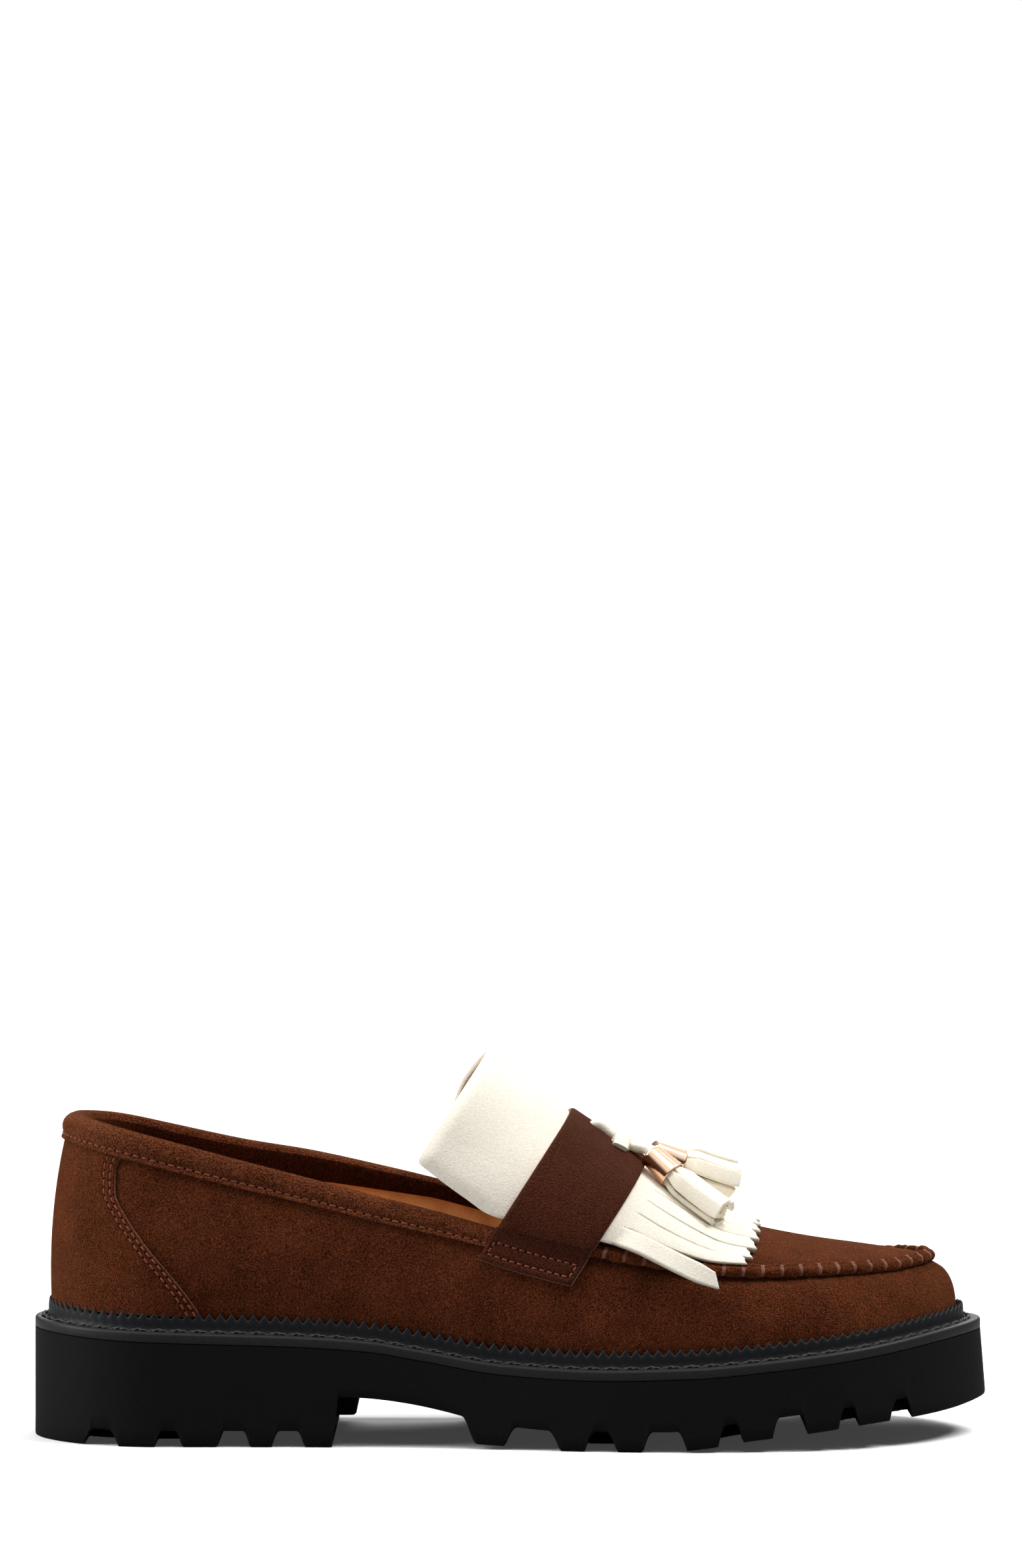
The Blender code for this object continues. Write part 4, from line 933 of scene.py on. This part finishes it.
# Outline of the folded strip: distance out from the wall's face, and depth below the top line.
BINDING_PROFILE = (
    (-0.2, 6.2), (0.2, 7.0), (0.85, 7.05), (1.08, 6.9), (1.08, 6.6), (0.95, 6.2), (0.6, BINDING_SEAM),
    (1.05, 5.2), (1.4, 4.5), (1.6, 3.6), (1.6, 2.6), (1.45, 1.7), (1.05, 0.85), (0.4, 0.25), (-0.5, -0.05),
    (-1.5, -0.05), (-2.3, 0.25), (-2.9, 0.9), (-3.2, 1.8), (-3.3, 3.0), (-3.3, 4.2), (-3.2, 5.2),
    (-3.05, 5.9), (-2.7, 6.3), (-2.3, 6.0), (-2.0, 5.0), (-1.2, 4.5),
)
# Places of the outline that lie inside the shoe, which take the binding's painted shade.
BINDING_INSIDE = (17, 25)
# Ripples of the loose strip: height, length of the wave, and where it starts.
BINDING_RIPPLES = ((0.07, 3.1, 0), (0.06, 7.7, 2), (0.04, 1.3, 0))
binding_turns = np.linspace(-fraction_at(BINDING_END), fraction_at(BINDING_END), BINDING_STEPS)
binding_length = wall_length(binding_turns)
binding_top = wall(binding_turns, 1.0)
binding_x = binding_top[:, 0]
# How much wider the strip is outside and inside than its outline, and how far the counter lifts it.
binding_wide = np.interp(binding_x, (5, 20, 40, 125), (1.05, 1.14, 1.2, 0.95))
binding_deep = np.interp(binding_x, (40, 84, 113), (2.0, 1.27, 0.9))
binding_over = np.interp(binding_x, (24, 32), (COUNTER_THICKNESS, 0))


def binding_ring(profile, loose):
    """Points of the binding at (out, depth) places, on the curve of the wall below."""
    ring = []
    for out, depth in profile:
        depth = depth * (binding_wide if out > -2 else binding_deep)
        base = wall(binding_turns, 1 - np.maximum(depth, 0) / binding_length)
        below = wall(binding_turns, 1 - (np.maximum(depth, 0) + 1.0) / binding_length)
        way = unit(base - below)
        normal = unit(np.cross(unit(np.gradient(base, axis=0)), way))
        normal = normal * np.sign((normal * outward(binding_turns)).sum(-1, keepdims=True))
        puff = out + 0 * depth
        if out > 0.1:
            puff = puff + binding_over * np.clip(depth / 3, 0, 1)
        if out > 0.6:
            puff = puff + loose
        ring.append(base + normal * puff[:, None] + way * np.maximum(-depth, 0)[:, None])
    return np.stack(ring, 1)


binding_run = run_lengths(binding_top)
binding_loose = sum(high * np.sin(binding_run / wave + start) for high, wave, start in BINDING_RIPPLES)
binding_loops = binding_ring(BINDING_PROFILE, binding_loose)
# As on the wall, the light tone is paled: partly the nap's own lighter tips, partly painted glints of the
# nap, a painted highlight.
binding_suede = mottled(
    "binding_suede", tone(42, 6, 1), tone(130, 72, 46), patch=8, grain=0.48, roughness=(0.85, 1.0),
    relief=1.2, patch_share=0.28, grain_share=1.15, fleck=1.35, Sheen_Tint=tone(235, 165, 110), **SUEDE,
)
collar_binding = new_piece(
    "collar_binding", binding_loops, loft_faces(*binding_loops.shape[:2]), binding_suede, 42
)
# The binding's inside face takes a much darker brown than its outside: painted shade, for the face that lies
# in shadow inside the collar.
binding_inside_shade = mottled(
    "binding_inside_shade", tone(23, 6, 2), tone(56, 22, 10), patch=8, grain=0.65, roughness=(0.9, 1.0),
    relief=0.5, patch_share=0.3, grain_share=1.8, Sheen_Tint=tone(235, 165, 110), **SUEDE,
)
part_finish(
    collar_binding, binding_inside_shade, len(BINDING_PROFILE),
    lambda places: BINDING_INSIDE[0] <= places.min() and places.max() <= BINDING_INSIDE[1],
)
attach(collar_binding, "root")
binding_seam_line = binding_ring(((0.66, BINDING_SEAM),), 0)[:, 0]
binding_seam_below = binding_ring(((0.0, BINDING_SEAM),), 0)[:, 0]
binding_rows = [(binding_seam_line, unit(binding_seam_line - binding_seam_below))]
for piece in sew("collar_binding", binding_rows, SEWING_STITCH + 0.2):
    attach(piece, "root")


# Kiltie: one sheet of cream suede that lies on the instep under the strap. Its back is an arched tongue.
# Its front is slit by hand into strips with pinked ends, and one strip has strayed.
KILTIE_THICKNESS = 1.6
KILTIE_TAIL, SLIT_START = 48.3, 106.0
INSTEP_SLOPE = math.radians(33.5)
STRIPS, STRIP_COLUMNS = 13, 8
BODY_ROWS, STRIP_ROWS = 90, 70
FRINGE_END, FRINGE_END_SIDE, FRINGE_SLANT, PINK_DEPTH = 207.4, 199.9, 3.3, 0.4
SLIT = 0.005
# The tongue: its rolled lip, and the flap that its far side makes behind the rest.
TAIL_ROLL, TAIL_RISE, FAR_FLAP, FAR_CORNER, STRAP_BACK = 1.1, 2.7, 0.5, 2.0, 76.7
# Middle of the strayed strip after its root: it crosses the apron seam and hangs against the wall.
STRAY_MIDDLE = (
    (171.5, -38.9, 57.0), (177.5, -40.4, 54.2), (183.4, -41.6, 51.4), (189.0, -42.1, 48.9),
    (194.5, -42.0, 46.7),
)
STRAY_WIDTH, STRAY_CUT = 5.4, 2.6
# How far the strips beside the strayed one spread towards it at their ends.
FRINGE_SPREAD = 1.067
# Edges of the sheet along the instep's slope, as shares of the way from its ridge to the wall's top.
kiltie_lateral, kiltie_medial = curves(
    (48, -0.83, 0.64), (64, -0.90, 0.78), (77, -0.95, 0.88), (106, -0.93, 0.92), (150, -0.93, 0.93)
)


def skin(share, girth):
    """Outside of the upper: girth -2 to -1 is its outer wall, -1 to 1 the instep, 1 to 2 the inner wall."""
    share, girth = np.broadcast_arrays(np.asarray(share, float), np.asarray(girth, float))
    over = instep(share, np.clip(girth, -1, 1))
    near, far = wall(share, np.clip(2 + girth, 0, 1)), wall(2 - share, np.clip(2 - girth, 0, 1))
    return np.where(girth[..., None] < -1, near, np.where(girth[..., None] > 1, far, over))


def skin_at_axial(axial, girth):
    """Point of the skin at a place along the sloping line of the instep, found by halving."""
    axial, girth = np.broadcast_arrays(np.asarray(axial, float), np.asarray(girth, float))
    low, high = np.full(axial.shape, fraction_at(60.0)), np.full(axial.shape, fraction_at(240.0))
    for _ in range(26):
        middle = (low + high) / 2
        point = skin(middle, girth)
        behind = point[..., 0] * math.cos(INSTEP_SLOPE) - point[..., 2] * math.sin(INSTEP_SLOPE) < axial
        low, high = np.where(behind, middle, low), np.where(behind, high, middle)
    return point


def kiltie_girth(axial, edge):
    """Girth at a share across the kiltie, from its outer edge (-1) to its inner one (+1)."""
    lateral, medial = kiltie_lateral(axial), kiltie_medial(axial)
    return (lateral + medial) / 2 + (medial - lateral) / 2 * edge


def kiltie_lift(girth):
    """The kiltie lies close over the instep and rides up beside the apron seam."""
    return 0.5 + 0.8 * ramp(np.abs(girth), 0.7, 0.95)


def smooth_path(points, steps):
    """Smooth line through a few points, in even steps."""
    points = np.asarray(points, float)
    places = run_lengths(points)
    at = np.linspace(0, places[-1], steps)
    return np.stack([curve(places, points[:, k])(at) for k in range(3)], -1)


def fringe_strip(edges, corner, root, root_ways):
    """Rows of a strip that lies on the apron, with its end cut on the slant and pinked."""
    along = np.linspace(0, 1, STRIP_ROWS)[:, None]
    slack, raised = 0.6 + 0.8 * fringe_rng.random(), 0.35 * fringe_rng.random()
    start_girth = kiltie_girth(SLIT_START, edges)
    opened = np.clip(along / 0.7, 0, 1)
    girth = kiltie_girth(150, 1 - (1 - edges) * FRINGE_SPREAD) + SLIT * slack * (1 - 2 * corner)
    girth = start_girth * (1 - opened) + girth * opened
    pinked = PINK_DEPTH * np.abs((corner * 2) % 1 * 2 - 1)
    end = FRINGE_END - (FRINGE_END - FRINGE_END_SIDE) * edges**2 - FRINGE_SLANT * corner + pinked
    grid = skin(fraction_at(root[:, 0] + (end - root[:, 0]) * along), girth)
    grid[0] = root
    ways = grid_normals(grid, UPWARD)
    ways[0] = root_ways
    lift = kiltie_lift(girth) + raised * along**1.5 - 0.3 * (2 * corner - 1) ** 2 * along
    return (grid + ways * lift[..., None])[1:]


def stray_strip(corner, root):
    """Rows of the strip that has strayed over the apron seam, flat across and cut to a slanted end."""
    chord = root[-1] - root[0]
    path = smooth_path([root.mean(0), *STRAY_MIDDLE], STRIP_ROWS)
    along = np.linspace(0, 1, STRIP_ROWS)[:, None]
    heading = unit(np.gradient(path, axis=0))
    out = unit(np.array((0.0, -1.0, 0.75)) * (1 - along) + np.array((0.05, -1.0, 0.25)) * along)
    across = unit(np.cross(out, heading))
    across = across * np.sign((across * chord).sum(-1, keepdims=True))
    settle = np.clip(along / 0.3, 0, 1)
    across = unit(unit(chord) * (1 - settle) + across * settle)
    narrowed = STRAY_WIDTH * (1 - 0.25 * ramp(along, 0.8, 1.0))
    width = np.linalg.norm(chord) * (1 - settle) + narrowed * settle
    cut_back = STRAY_CUT * corner * ramp(along, 0.6, 1.0) ** 2
    rows = path[:, None] + across[:, None] * (width * (corner - 0.5))[..., None]
    return (rows - heading[:, None] * cut_back[..., None])[1:]


kiltie_edges = np.linspace(-1, 1, STRIPS * STRIP_COLUMNS + 1)
far_corner = FAR_CORNER * ramp(kiltie_edges, 0.72, 1.0) ** 2
tail_edge = KILTIE_TAIL - FAR_FLAP * ramp(kiltie_edges, 0.4, 0.8) + far_corner
body_shares = np.linspace(0, 1, BODY_ROWS)[:, None] ** 1.25
body_axials = tail_edge + (SLIT_START - tail_edge) * body_shares
body_girths = kiltie_girth(body_axials, kiltie_edges[None])
body_grid = skin_at_axial(body_axials, body_girths)
body_normals = grid_normals(body_grid, UPWARD)
long_wave = 0.25 * np.sin(body_axials / 9 + kiltie_edges * 4)
short_wave = 0.2 * np.sin(body_axials / 5.3 - kiltie_edges * 7 + 1)
body_wave = (long_wave + short_wave) * ramp(body_axials, SLIT_START, SLIT_START - 20)
tail_roll = np.clip(1 - (body_axials - tail_edge) / 3.2, 0, 1) ** 2
side_roll = ramp(np.abs(kiltie_edges), 0.93, 1.0) ** 2 * ramp(body_axials, STRAP_BACK, STRAP_BACK - 6)
tail_arch = 1 - np.where(kiltie_edges < 0, 0.55, 1.0) * kiltie_edges**2
tail_rise = TAIL_RISE * ramp(body_axials, STRAP_BACK, KILTIE_TAIL) * tail_arch
body_lift = kiltie_lift(body_girths) + body_wave + tail_rise - TAIL_ROLL * np.maximum(tail_roll, side_roll)
body_points = body_grid + body_normals * body_lift[..., None]
kiltie_points = [body_points.reshape(-1, 3)]
kiltie_faces = [grid_faces(*body_points.shape[:2])]
placed = body_points.shape[0] * body_points.shape[1]
fringe_rng = np.random.default_rng(7)
for strip in range(STRIPS):
    columns = strip * STRIP_COLUMNS + np.arange(STRIP_COLUMNS + 1)
    corner = np.linspace(0, 1, STRIP_COLUMNS + 1)[None]
    if strip == 0:
        rows = stray_strip(corner, body_points[-1, columns])
    else:
        root, root_ways = body_grid[-1, columns], body_normals[-1, columns]
        rows = fringe_strip(kiltie_edges[columns], corner[0], root, root_ways)
    numbers = placed + np.arange(rows.shape[0] * rows.shape[1]).reshape(rows.shape[:2])
    numbers = np.concatenate([((BODY_ROWS - 1) * len(kiltie_edges) + columns)[None], numbers])
    quads = np.stack([numbers[:-1, :-1], numbers[1:, :-1], numbers[1:, 1:], numbers[:-1, 1:]], -1)
    kiltie_faces.append(quads.reshape(-1, 4))
    kiltie_points.append(rows.reshape(-1, 3))
    placed += rows.shape[0] * rows.shape[1]
CREAM = dict(patch_share=0.2, grain_share=0.7, Sheen_Tint=tone(255, 250, 240), **SUEDE)
cream_suede = mottled(
    "cream_suede", tone(226, 217, 199), tone(248, 243, 231), patch=10, grain=0.6, roughness=(0.9, 1.0),
    relief=0.13, **CREAM,
)
kiltie = new_piece(
    "fringed_kiltie", np.concatenate(kiltie_points), np.concatenate(kiltie_faces), cream_suede, 50
)
# The sheet's cut rim takes a greyer cream than its face: painted shade along the edge's thickness.
cream_edge_shade = mottled(
    "cream_edge_shade", tone(196, 184, 162), tone(226, 217, 200), patch=6, grain=0.5, roughness=(0.9, 1.0),
    relief=0.3, patch_share=0.3, grain_share=1.0, **SUEDE,
)
kiltie.data.materials.append(cream_edge_shade)
kiltie_cut = kiltie.modifiers.new("suede_thickness", "SOLIDIFY")
kiltie_cut.thickness = KILTIE_THICKNESS * MM
kiltie_cut.offset = 1
kiltie_cut.material_offset_rim = 1
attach(kiltie, "root")
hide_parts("kiltie")


# Strap: a band of darker brown suede across the instep, over the kiltie.
# Both its ends are sewn down to the wall with a box of rust thread.
STRAP_AXIAL, STRAP_ENDS = (STRAP_BACK, 102.5), (1.285, 1.39)
STRAP_THICKNESS, STRAP_LIFT = 1.6, 0.6
STRAP_ROWS, STRAP_COLUMNS = 60, 301
BOX_LOW, BOX_HIGH, BOX_SIDE, BOX_STITCH, BOX_DENT, BOX_FADE = 2.3, 6.2, 1.6, 2.25, 0.45, 0.6
strap_axials = np.linspace(*STRAP_AXIAL, STRAP_ROWS)[:, None]
strap_girths = np.linspace(*STRAP_ENDS, STRAP_ROWS)[:, None] * np.linspace(-1, 1, STRAP_COLUMNS)[None]
strap_share = ramp(np.abs(strap_girths), 1.16, 0.98)
strap_over_kiltie = kiltie_lift(strap_girths) + KILTIE_THICKNESS + GAP
strap_lift = STRAP_LIFT + (strap_over_kiltie - STRAP_LIFT) * strap_share**2 * (3 - 2 * strap_share)
strap_grid = skin_at_axial(strap_axials, strap_girths)
strap_out = strap_grid - strap_grid.mean((0, 1)) + (0, 0, 20)
strap_normals = grid_normals(strap_grid, strap_out)
strap_run = run_lengths(strap_grid.swapaxes(0, 1)).T
strap_from_end = np.minimum(strap_run, strap_run[:, -1:] - strap_run)
strap_from_side = np.minimum(strap_axials - STRAP_AXIAL[0], STRAP_AXIAL[1] - strap_axials)
in_box_side = ramp(strap_from_side, BOX_SIDE - BOX_FADE, BOX_SIDE)
in_box_foot = ramp(strap_from_end, BOX_LOW - BOX_FADE, BOX_LOW)
in_box_height = in_box_foot * ramp(strap_from_end, BOX_HIGH + BOX_FADE, BOX_HIGH)
box_dent = sewn_dent(strap_from_end, (BOX_LOW, BOX_HIGH), BOX_DENT) * in_box_side
box_dent = np.maximum(box_dent, sewn_dent(strap_from_side, (BOX_SIDE,), BOX_DENT) * in_box_height)
strap_edge = cut_edge(strap_from_side, 0.5, 1.0) + cut_edge(strap_from_end, 0.5, 1.0)
strap_skin = strap_grid + strap_normals * (strap_lift + STRAP_THICKNESS - box_dent - strap_edge)[..., None]
strap_back = strap_grid + strap_normals * (strap_lift - 0.2)[..., None]
strap_points, strap_faces = thick_sheet(strap_skin, strap_back)
# As on the wall, the light tone is paled: partly the nap's own lighter tips, partly painted glints of the
# nap, a painted highlight.
dark_suede = mottled(
    "dark_suede", tone(38, 8, 2), tone(92, 47, 32), patch=12, grain=0.42, roughness=(0.85, 1.0),
    relief=0.9, patch_share=0.28, grain_share=0.95, fleck=1.35, Sheen_Tint=tone(230, 180, 150), **SUEDE,
)
strap = new_piece("instep_strap", strap_points, strap_faces, dark_suede, 50)
part_finish(strap, raw_edge, 2 * STRAP_COLUMNS, cut_side(STRAP_COLUMNS))
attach(strap, "root")
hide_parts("strap")


def box_seam(grid, run, from_end, from_side):
    """Point of the strap at distances from its end and from its back edge."""
    row = np.interp(from_side, strap_axials[:, 0] - STRAP_AXIAL[0], np.arange(STRAP_ROWS))
    low = int(min(row, STRAP_ROWS - 2))
    places = [np.interp(from_end, run[r], np.arange(STRAP_COLUMNS)) for r in (low, low + 1)]
    below, above = (read_line(grid[low + k], np.array([place]))[0] for k, place in enumerate(places))
    return below * (1 - row + low) + above * (row - low)


box_far_side = STRAP_AXIAL[1] - STRAP_AXIAL[0] - BOX_SIDE
box_corners = (
    (BOX_LOW, BOX_SIDE), (BOX_LOW, box_far_side), (BOX_HIGH, box_far_side), (BOX_HIGH, BOX_SIDE),
    (BOX_LOW, BOX_SIDE),
)
strap_rows = []
for grid, normals, run in (
    (strap_skin, strap_normals, strap_run),
    (strap_skin[:, ::-1], strap_normals[:, ::-1], strap_run[:, -1:] - strap_run[:, ::-1]),
):
    for start, end in zip(box_corners, box_corners[1:]):
        spots = [np.add(start, np.multiply(np.subtract(end, start), t)) for t in np.linspace(0, 1, 30)]
        line = np.array([box_seam(grid, run, *spot) for spot in spots])
        strap_rows.append((line, unit(np.array([box_seam(normals, run, *spot) for spot in spots]))))
for piece in sew("strap", strap_rows, BOX_STITCH, share=0.68):
    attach(piece, "root")


# Tassel tie: a cream suede thong that comes through the strap and is knotted flat on its ridge.
# It ends in two strands, and each goes into the top of a bell.
KNOT = np.array((166.2, -8.0, 83.3))
DOWN_SLOPE = np.array((math.cos(INSTEP_SLOPE), 0, -math.sin(INSTEP_SLOPE)))
ACROSS = unit(np.array((0.0, 1.0, 0.15)))
OFF_SLOPE = np.cross(DOWN_SLOPE, ACROSS)
BELL_LENGTH, BELL_TOP, BELL_FOOT, BELL_WALL = 9.2, 3.4, 4.3, 0.6
# Tassels: name, top and foot of the bell, and end of the fringe.
TASSELS = (
    ("lateral", (175.6, -12.6, 80.5), (181.9, -15.9, 74.6), (195.6, -23.0, 64.4)),
    ("medial", (176.6, 3.6, 80.1), (183.8, 6.6, 76.6), (199.8, 13.6, 70.6)),
)


def thong_mesh(path, width_way, widths, thickness, sides=16, squareness=0.55):
    """Points and faces of a soft flat thong along a path; width_way points across it."""
    path = np.asarray(path, float)
    along = unit(np.gradient(path, axis=0))
    across = unit(width_way - along * (width_way * along).sum(-1, keepdims=True))
    off = np.cross(along, across)
    angle = np.linspace(0, 2 * np.pi, sides, endpoint=False)
    wide = np.sign(np.cos(angle)) * np.abs(np.cos(angle)) ** squareness
    high = np.sign(np.sin(angle)) * np.abs(np.sin(angle)) ** squareness
    widths = np.broadcast_to(np.asarray(widths, float), (len(path),))[:, None, None] / 2
    heights = np.broadcast_to(np.asarray(thickness, float), (len(path),))[:, None, None] / 2
    points = path[:, None] + across[:, None] * wide[:, None] * widths + off[:, None] * high[:, None] * heights
    return points, loft_faces(len(path), sides)


def join(parts):
    """One set of points and faces from several."""
    points, faces, first = [], [], 0
    for part_points, part_faces in parts:
        flat = np.asarray(part_points).reshape(-1, 3)
        points.append(flat)
        faces += [[first + i for i in face] for face in part_faces]
        first += len(flat)
    return np.concatenate(points), faces


THONG_STEPS = 40


def by_knot(down, across, off):
    """Place measured from the knot: down the instep's slope, across it and off it."""
    return KNOT + DOWN_SLOPE * down + ACROSS * across + OFF_SLOPE * off


def knotted(*places):
    """Path of a thong through places that are measured from the knot."""
    return smooth_path([by_knot(*place) for place in places], THONG_STEPS)


thong_path = knotted((-8.2, 1.0, -1.6), (-8.1, 1.0, 0.2), (-7.0, 0.9, 1.4), (-3, 0.4, 1.4), (2.5, -0.3, 1.3))
wrap_path = knotted(
    (0.9, 3.1, 0.2), (0.8, 2.9, 1.9), (0.5, 0.8, 3.4), (0.2, -1.9, 3.1), (0, -3.3, 1.8), (-0.1, -3.6, 0.2)
)
lobe_path = knotted((3.4, 2.0, 0.2), (3.2, 1.6, 2.0), (2.9, -0.2, 3.0), (2.4, -2.2, 2.2), (2.2, -2.8, 0.4))
tab_path = knotted((0.2, -1.6, 1.6), (0.1, -3.8, 2.2), (0.2, -5.6, 1.6), (0.4, -7.0, 0.5))
thong_share = np.linspace(0, 1, THONG_STEPS)
tie_parts = [
    thong_mesh(thong_path, ACROSS, np.interp(thong_share, (0, 0.3, 1), (3.2, 4.2, 4.8)), 3.0, squareness=0.7),
    thong_mesh(wrap_path, DOWN_SLOPE, 5.0 + 0.5 * np.sin(5 * thong_share), 2.1, squareness=0.8),
    thong_mesh(lobe_path, DOWN_SLOPE, 3.0, 2.0, squareness=0.8),
    thong_mesh(tab_path, DOWN_SLOPE, np.interp(thong_share, (0, 0.5, 1), (3.4, 4.6, 4.6)), 2.6),
]
for _, bell_top, bell_foot, _ in TASSELS:
    toward = 1 if bell_top[1] > KNOT[1] else -1
    into_bell = unit(np.subtract(bell_foot, bell_top))
    strand_ends = bell_top - into_bell * 2.0, bell_top + into_bell * 1.2
    strand_starts = by_knot(2, toward * 1.0, 1.6), by_knot(4.6, toward * 2.0, 2.2)
    strand_path = smooth_path([*strand_starts, *strand_ends], THONG_STEPS)
    tie_parts.append(thong_mesh(strand_path, ACROSS, 3.7, 2.8, squareness=0.7))
# The tie and the fringes take a paler copy of the kiltie's cream: painted light that lifts their shaded
# sides.
painted_light_cream = mottled(
    "painted_light_cream", tone(244, 234, 211), tone(255, 251, 238), patch=10, grain=0.6, roughness=(0.9, 1.0),
    relief=0.13, **CREAM,
)
tassel_tie = new_piece("tassel_tie_thong", *join(tie_parts), painted_light_cream, 60)
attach(tassel_tie, "root")
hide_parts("tassel_tie")


# Tassel bells: turned and polished cups in a rose gold finish, narrow at the top and open at the foot.
# Each is closed over the knot that holds its fringe.
BELL_SIDES, BELL_BORE = 96, 0.9
# Section of the bell from its top, down its outside and up its inside: radius, and distance from the top.
BELL_PROFILE = (
    (BELL_BORE, 0.0), (BELL_TOP - 0.45, 0.0), (BELL_TOP - 0.15, 0.08), (BELL_TOP, 0.35),
    (BELL_TOP + 0.05, 0.8), (3.85, 5.0), (BELL_FOOT - 0.03, BELL_LENGTH - 0.5),
    (BELL_FOOT, BELL_LENGTH - 0.2), (BELL_FOOT - 0.12, BELL_LENGTH),
    (BELL_FOOT - BELL_WALL + 0.1, BELL_LENGTH), (BELL_FOOT - BELL_WALL, BELL_LENGTH - 0.2),
    (BELL_TOP - BELL_WALL, BELL_WALL + 0.2), (BELL_BORE, BELL_WALL),
)
rose_gold = mottled(
    "rose_gold", tone(232, 188, 156), tone(243, 204, 174), patch=4, grain=0.5, roughness=(0.06, 0.12),
    relief=0.004, Metallic=1.0,
)


def axis_frame(start, toward):
    """Point, way along, and two ways across, for something turned about an axis."""
    start, toward = np.array(start, float), np.array(toward, float)
    along = unit(toward - start)
    side = unit(np.cross(along, (0.0, 0.0, 1.0)))
    return start, along, side, np.cross(side, along)


for name, bell_top, bell_foot, _ in TASSELS:
    start, along, side, up = axis_frame(bell_top, bell_foot)
    angle = np.linspace(0, 2 * np.pi, BELL_SIDES, endpoint=False)[:, None]
    ring = np.cos(angle) * side + np.sin(angle) * up
    bell_loops = np.stack([start + along * down + ring * radius for radius, down in BELL_PROFILE], 0)
    bell = new_piece("bell_" + name, bell_loops, ring_faces(bell_loops), rose_gold, 50)
    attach(bell, "root")
    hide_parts("tassel_bell_" + name)


# Tassel fringes: a strip of cream suede slit into straps, rolled up and pushed into each bell.
# The straps spread and bend down at their own weight, and their ends are cut by hand.
FRINGE_STRAP_THICKNESS, FRINGE_STEPS = 1.5, 26
# Width of a strap from its root to its end.
FRINGE_WIDTHS = (2.3, 2.7, 4.32, 4.8, 4.32)
# Straps of each tassel: angle round the bell, distance from its axis at the end, and share of the length.
FRINGE_STRAPS = {
    "lateral": (
        (15, 3.6, 1.0), (72, 3.5, 0.97), (130, 3.6, 1.02), (188, 3.7, 0.96), (245, 3.6, 1.04),
        (300, 3.8, 1.0), (40, 1.2, 0.95), (160, 1.2, 1.0), (280, 1.2, 0.98),
    ),
    "medial": (
        (10, 4.6, 1.0), (62, 4.4, 0.98), (105, 5.6, 0.96), (150, 4.8, 1.03), (205, 4.2, 0.95),
        (255, 3.8, 1.02), (310, 4.4, 1.0), (30, 1.6, 0.95), (150, 1.6, 1.0), (270, 1.6, 0.97),
    ),
}
for name, bell_top, bell_foot, fringe_end in TASSELS:
    start, along, side, up = axis_frame(bell_top, bell_foot)
    foot, end = start + along * BELL_LENGTH, np.array(fringe_end)
    bend = foot + along * np.linalg.norm(end - foot) * 0.45
    straps = []
    for degrees, end_radius, length in FRINGE_STRAPS[name]:
        angle = math.radians(degrees)
        way = math.cos(angle) * side + math.sin(angle) * up
        tangent = -math.sin(angle) * side + math.cos(angle) * up
        root_radius = 1.0 if end_radius < 2 else 2.4
        t = np.linspace(0, 1, FRINGE_STEPS)[1:, None] * length
        middle = foot * (1 - t) ** 2 + bend * 2 * t * (1 - t) + end * t**2
        swell = root_radius + (end_radius - root_radius) * np.clip(t / 0.25, 0, 1) ** 0.7
        root = [foot - along * 4 + way * root_radius * 0.8, foot - along * 0.8 + way * root_radius]
        path = np.concatenate([root, middle + way * swell])
        share = np.linspace(0, 1, len(path))
        widths = np.interp(share, (0, 0.08, 0.25, 0.9, 1), FRINGE_WIDTHS)
        straps.append(thong_mesh(path, tangent, widths, FRINGE_STRAP_THICKNESS, squareness=0.4))
    fringe = new_piece("fringe_" + name, *join(straps), painted_light_cream, 60)
    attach(fringe, "root")
    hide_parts("tassel_fringe_" + name)
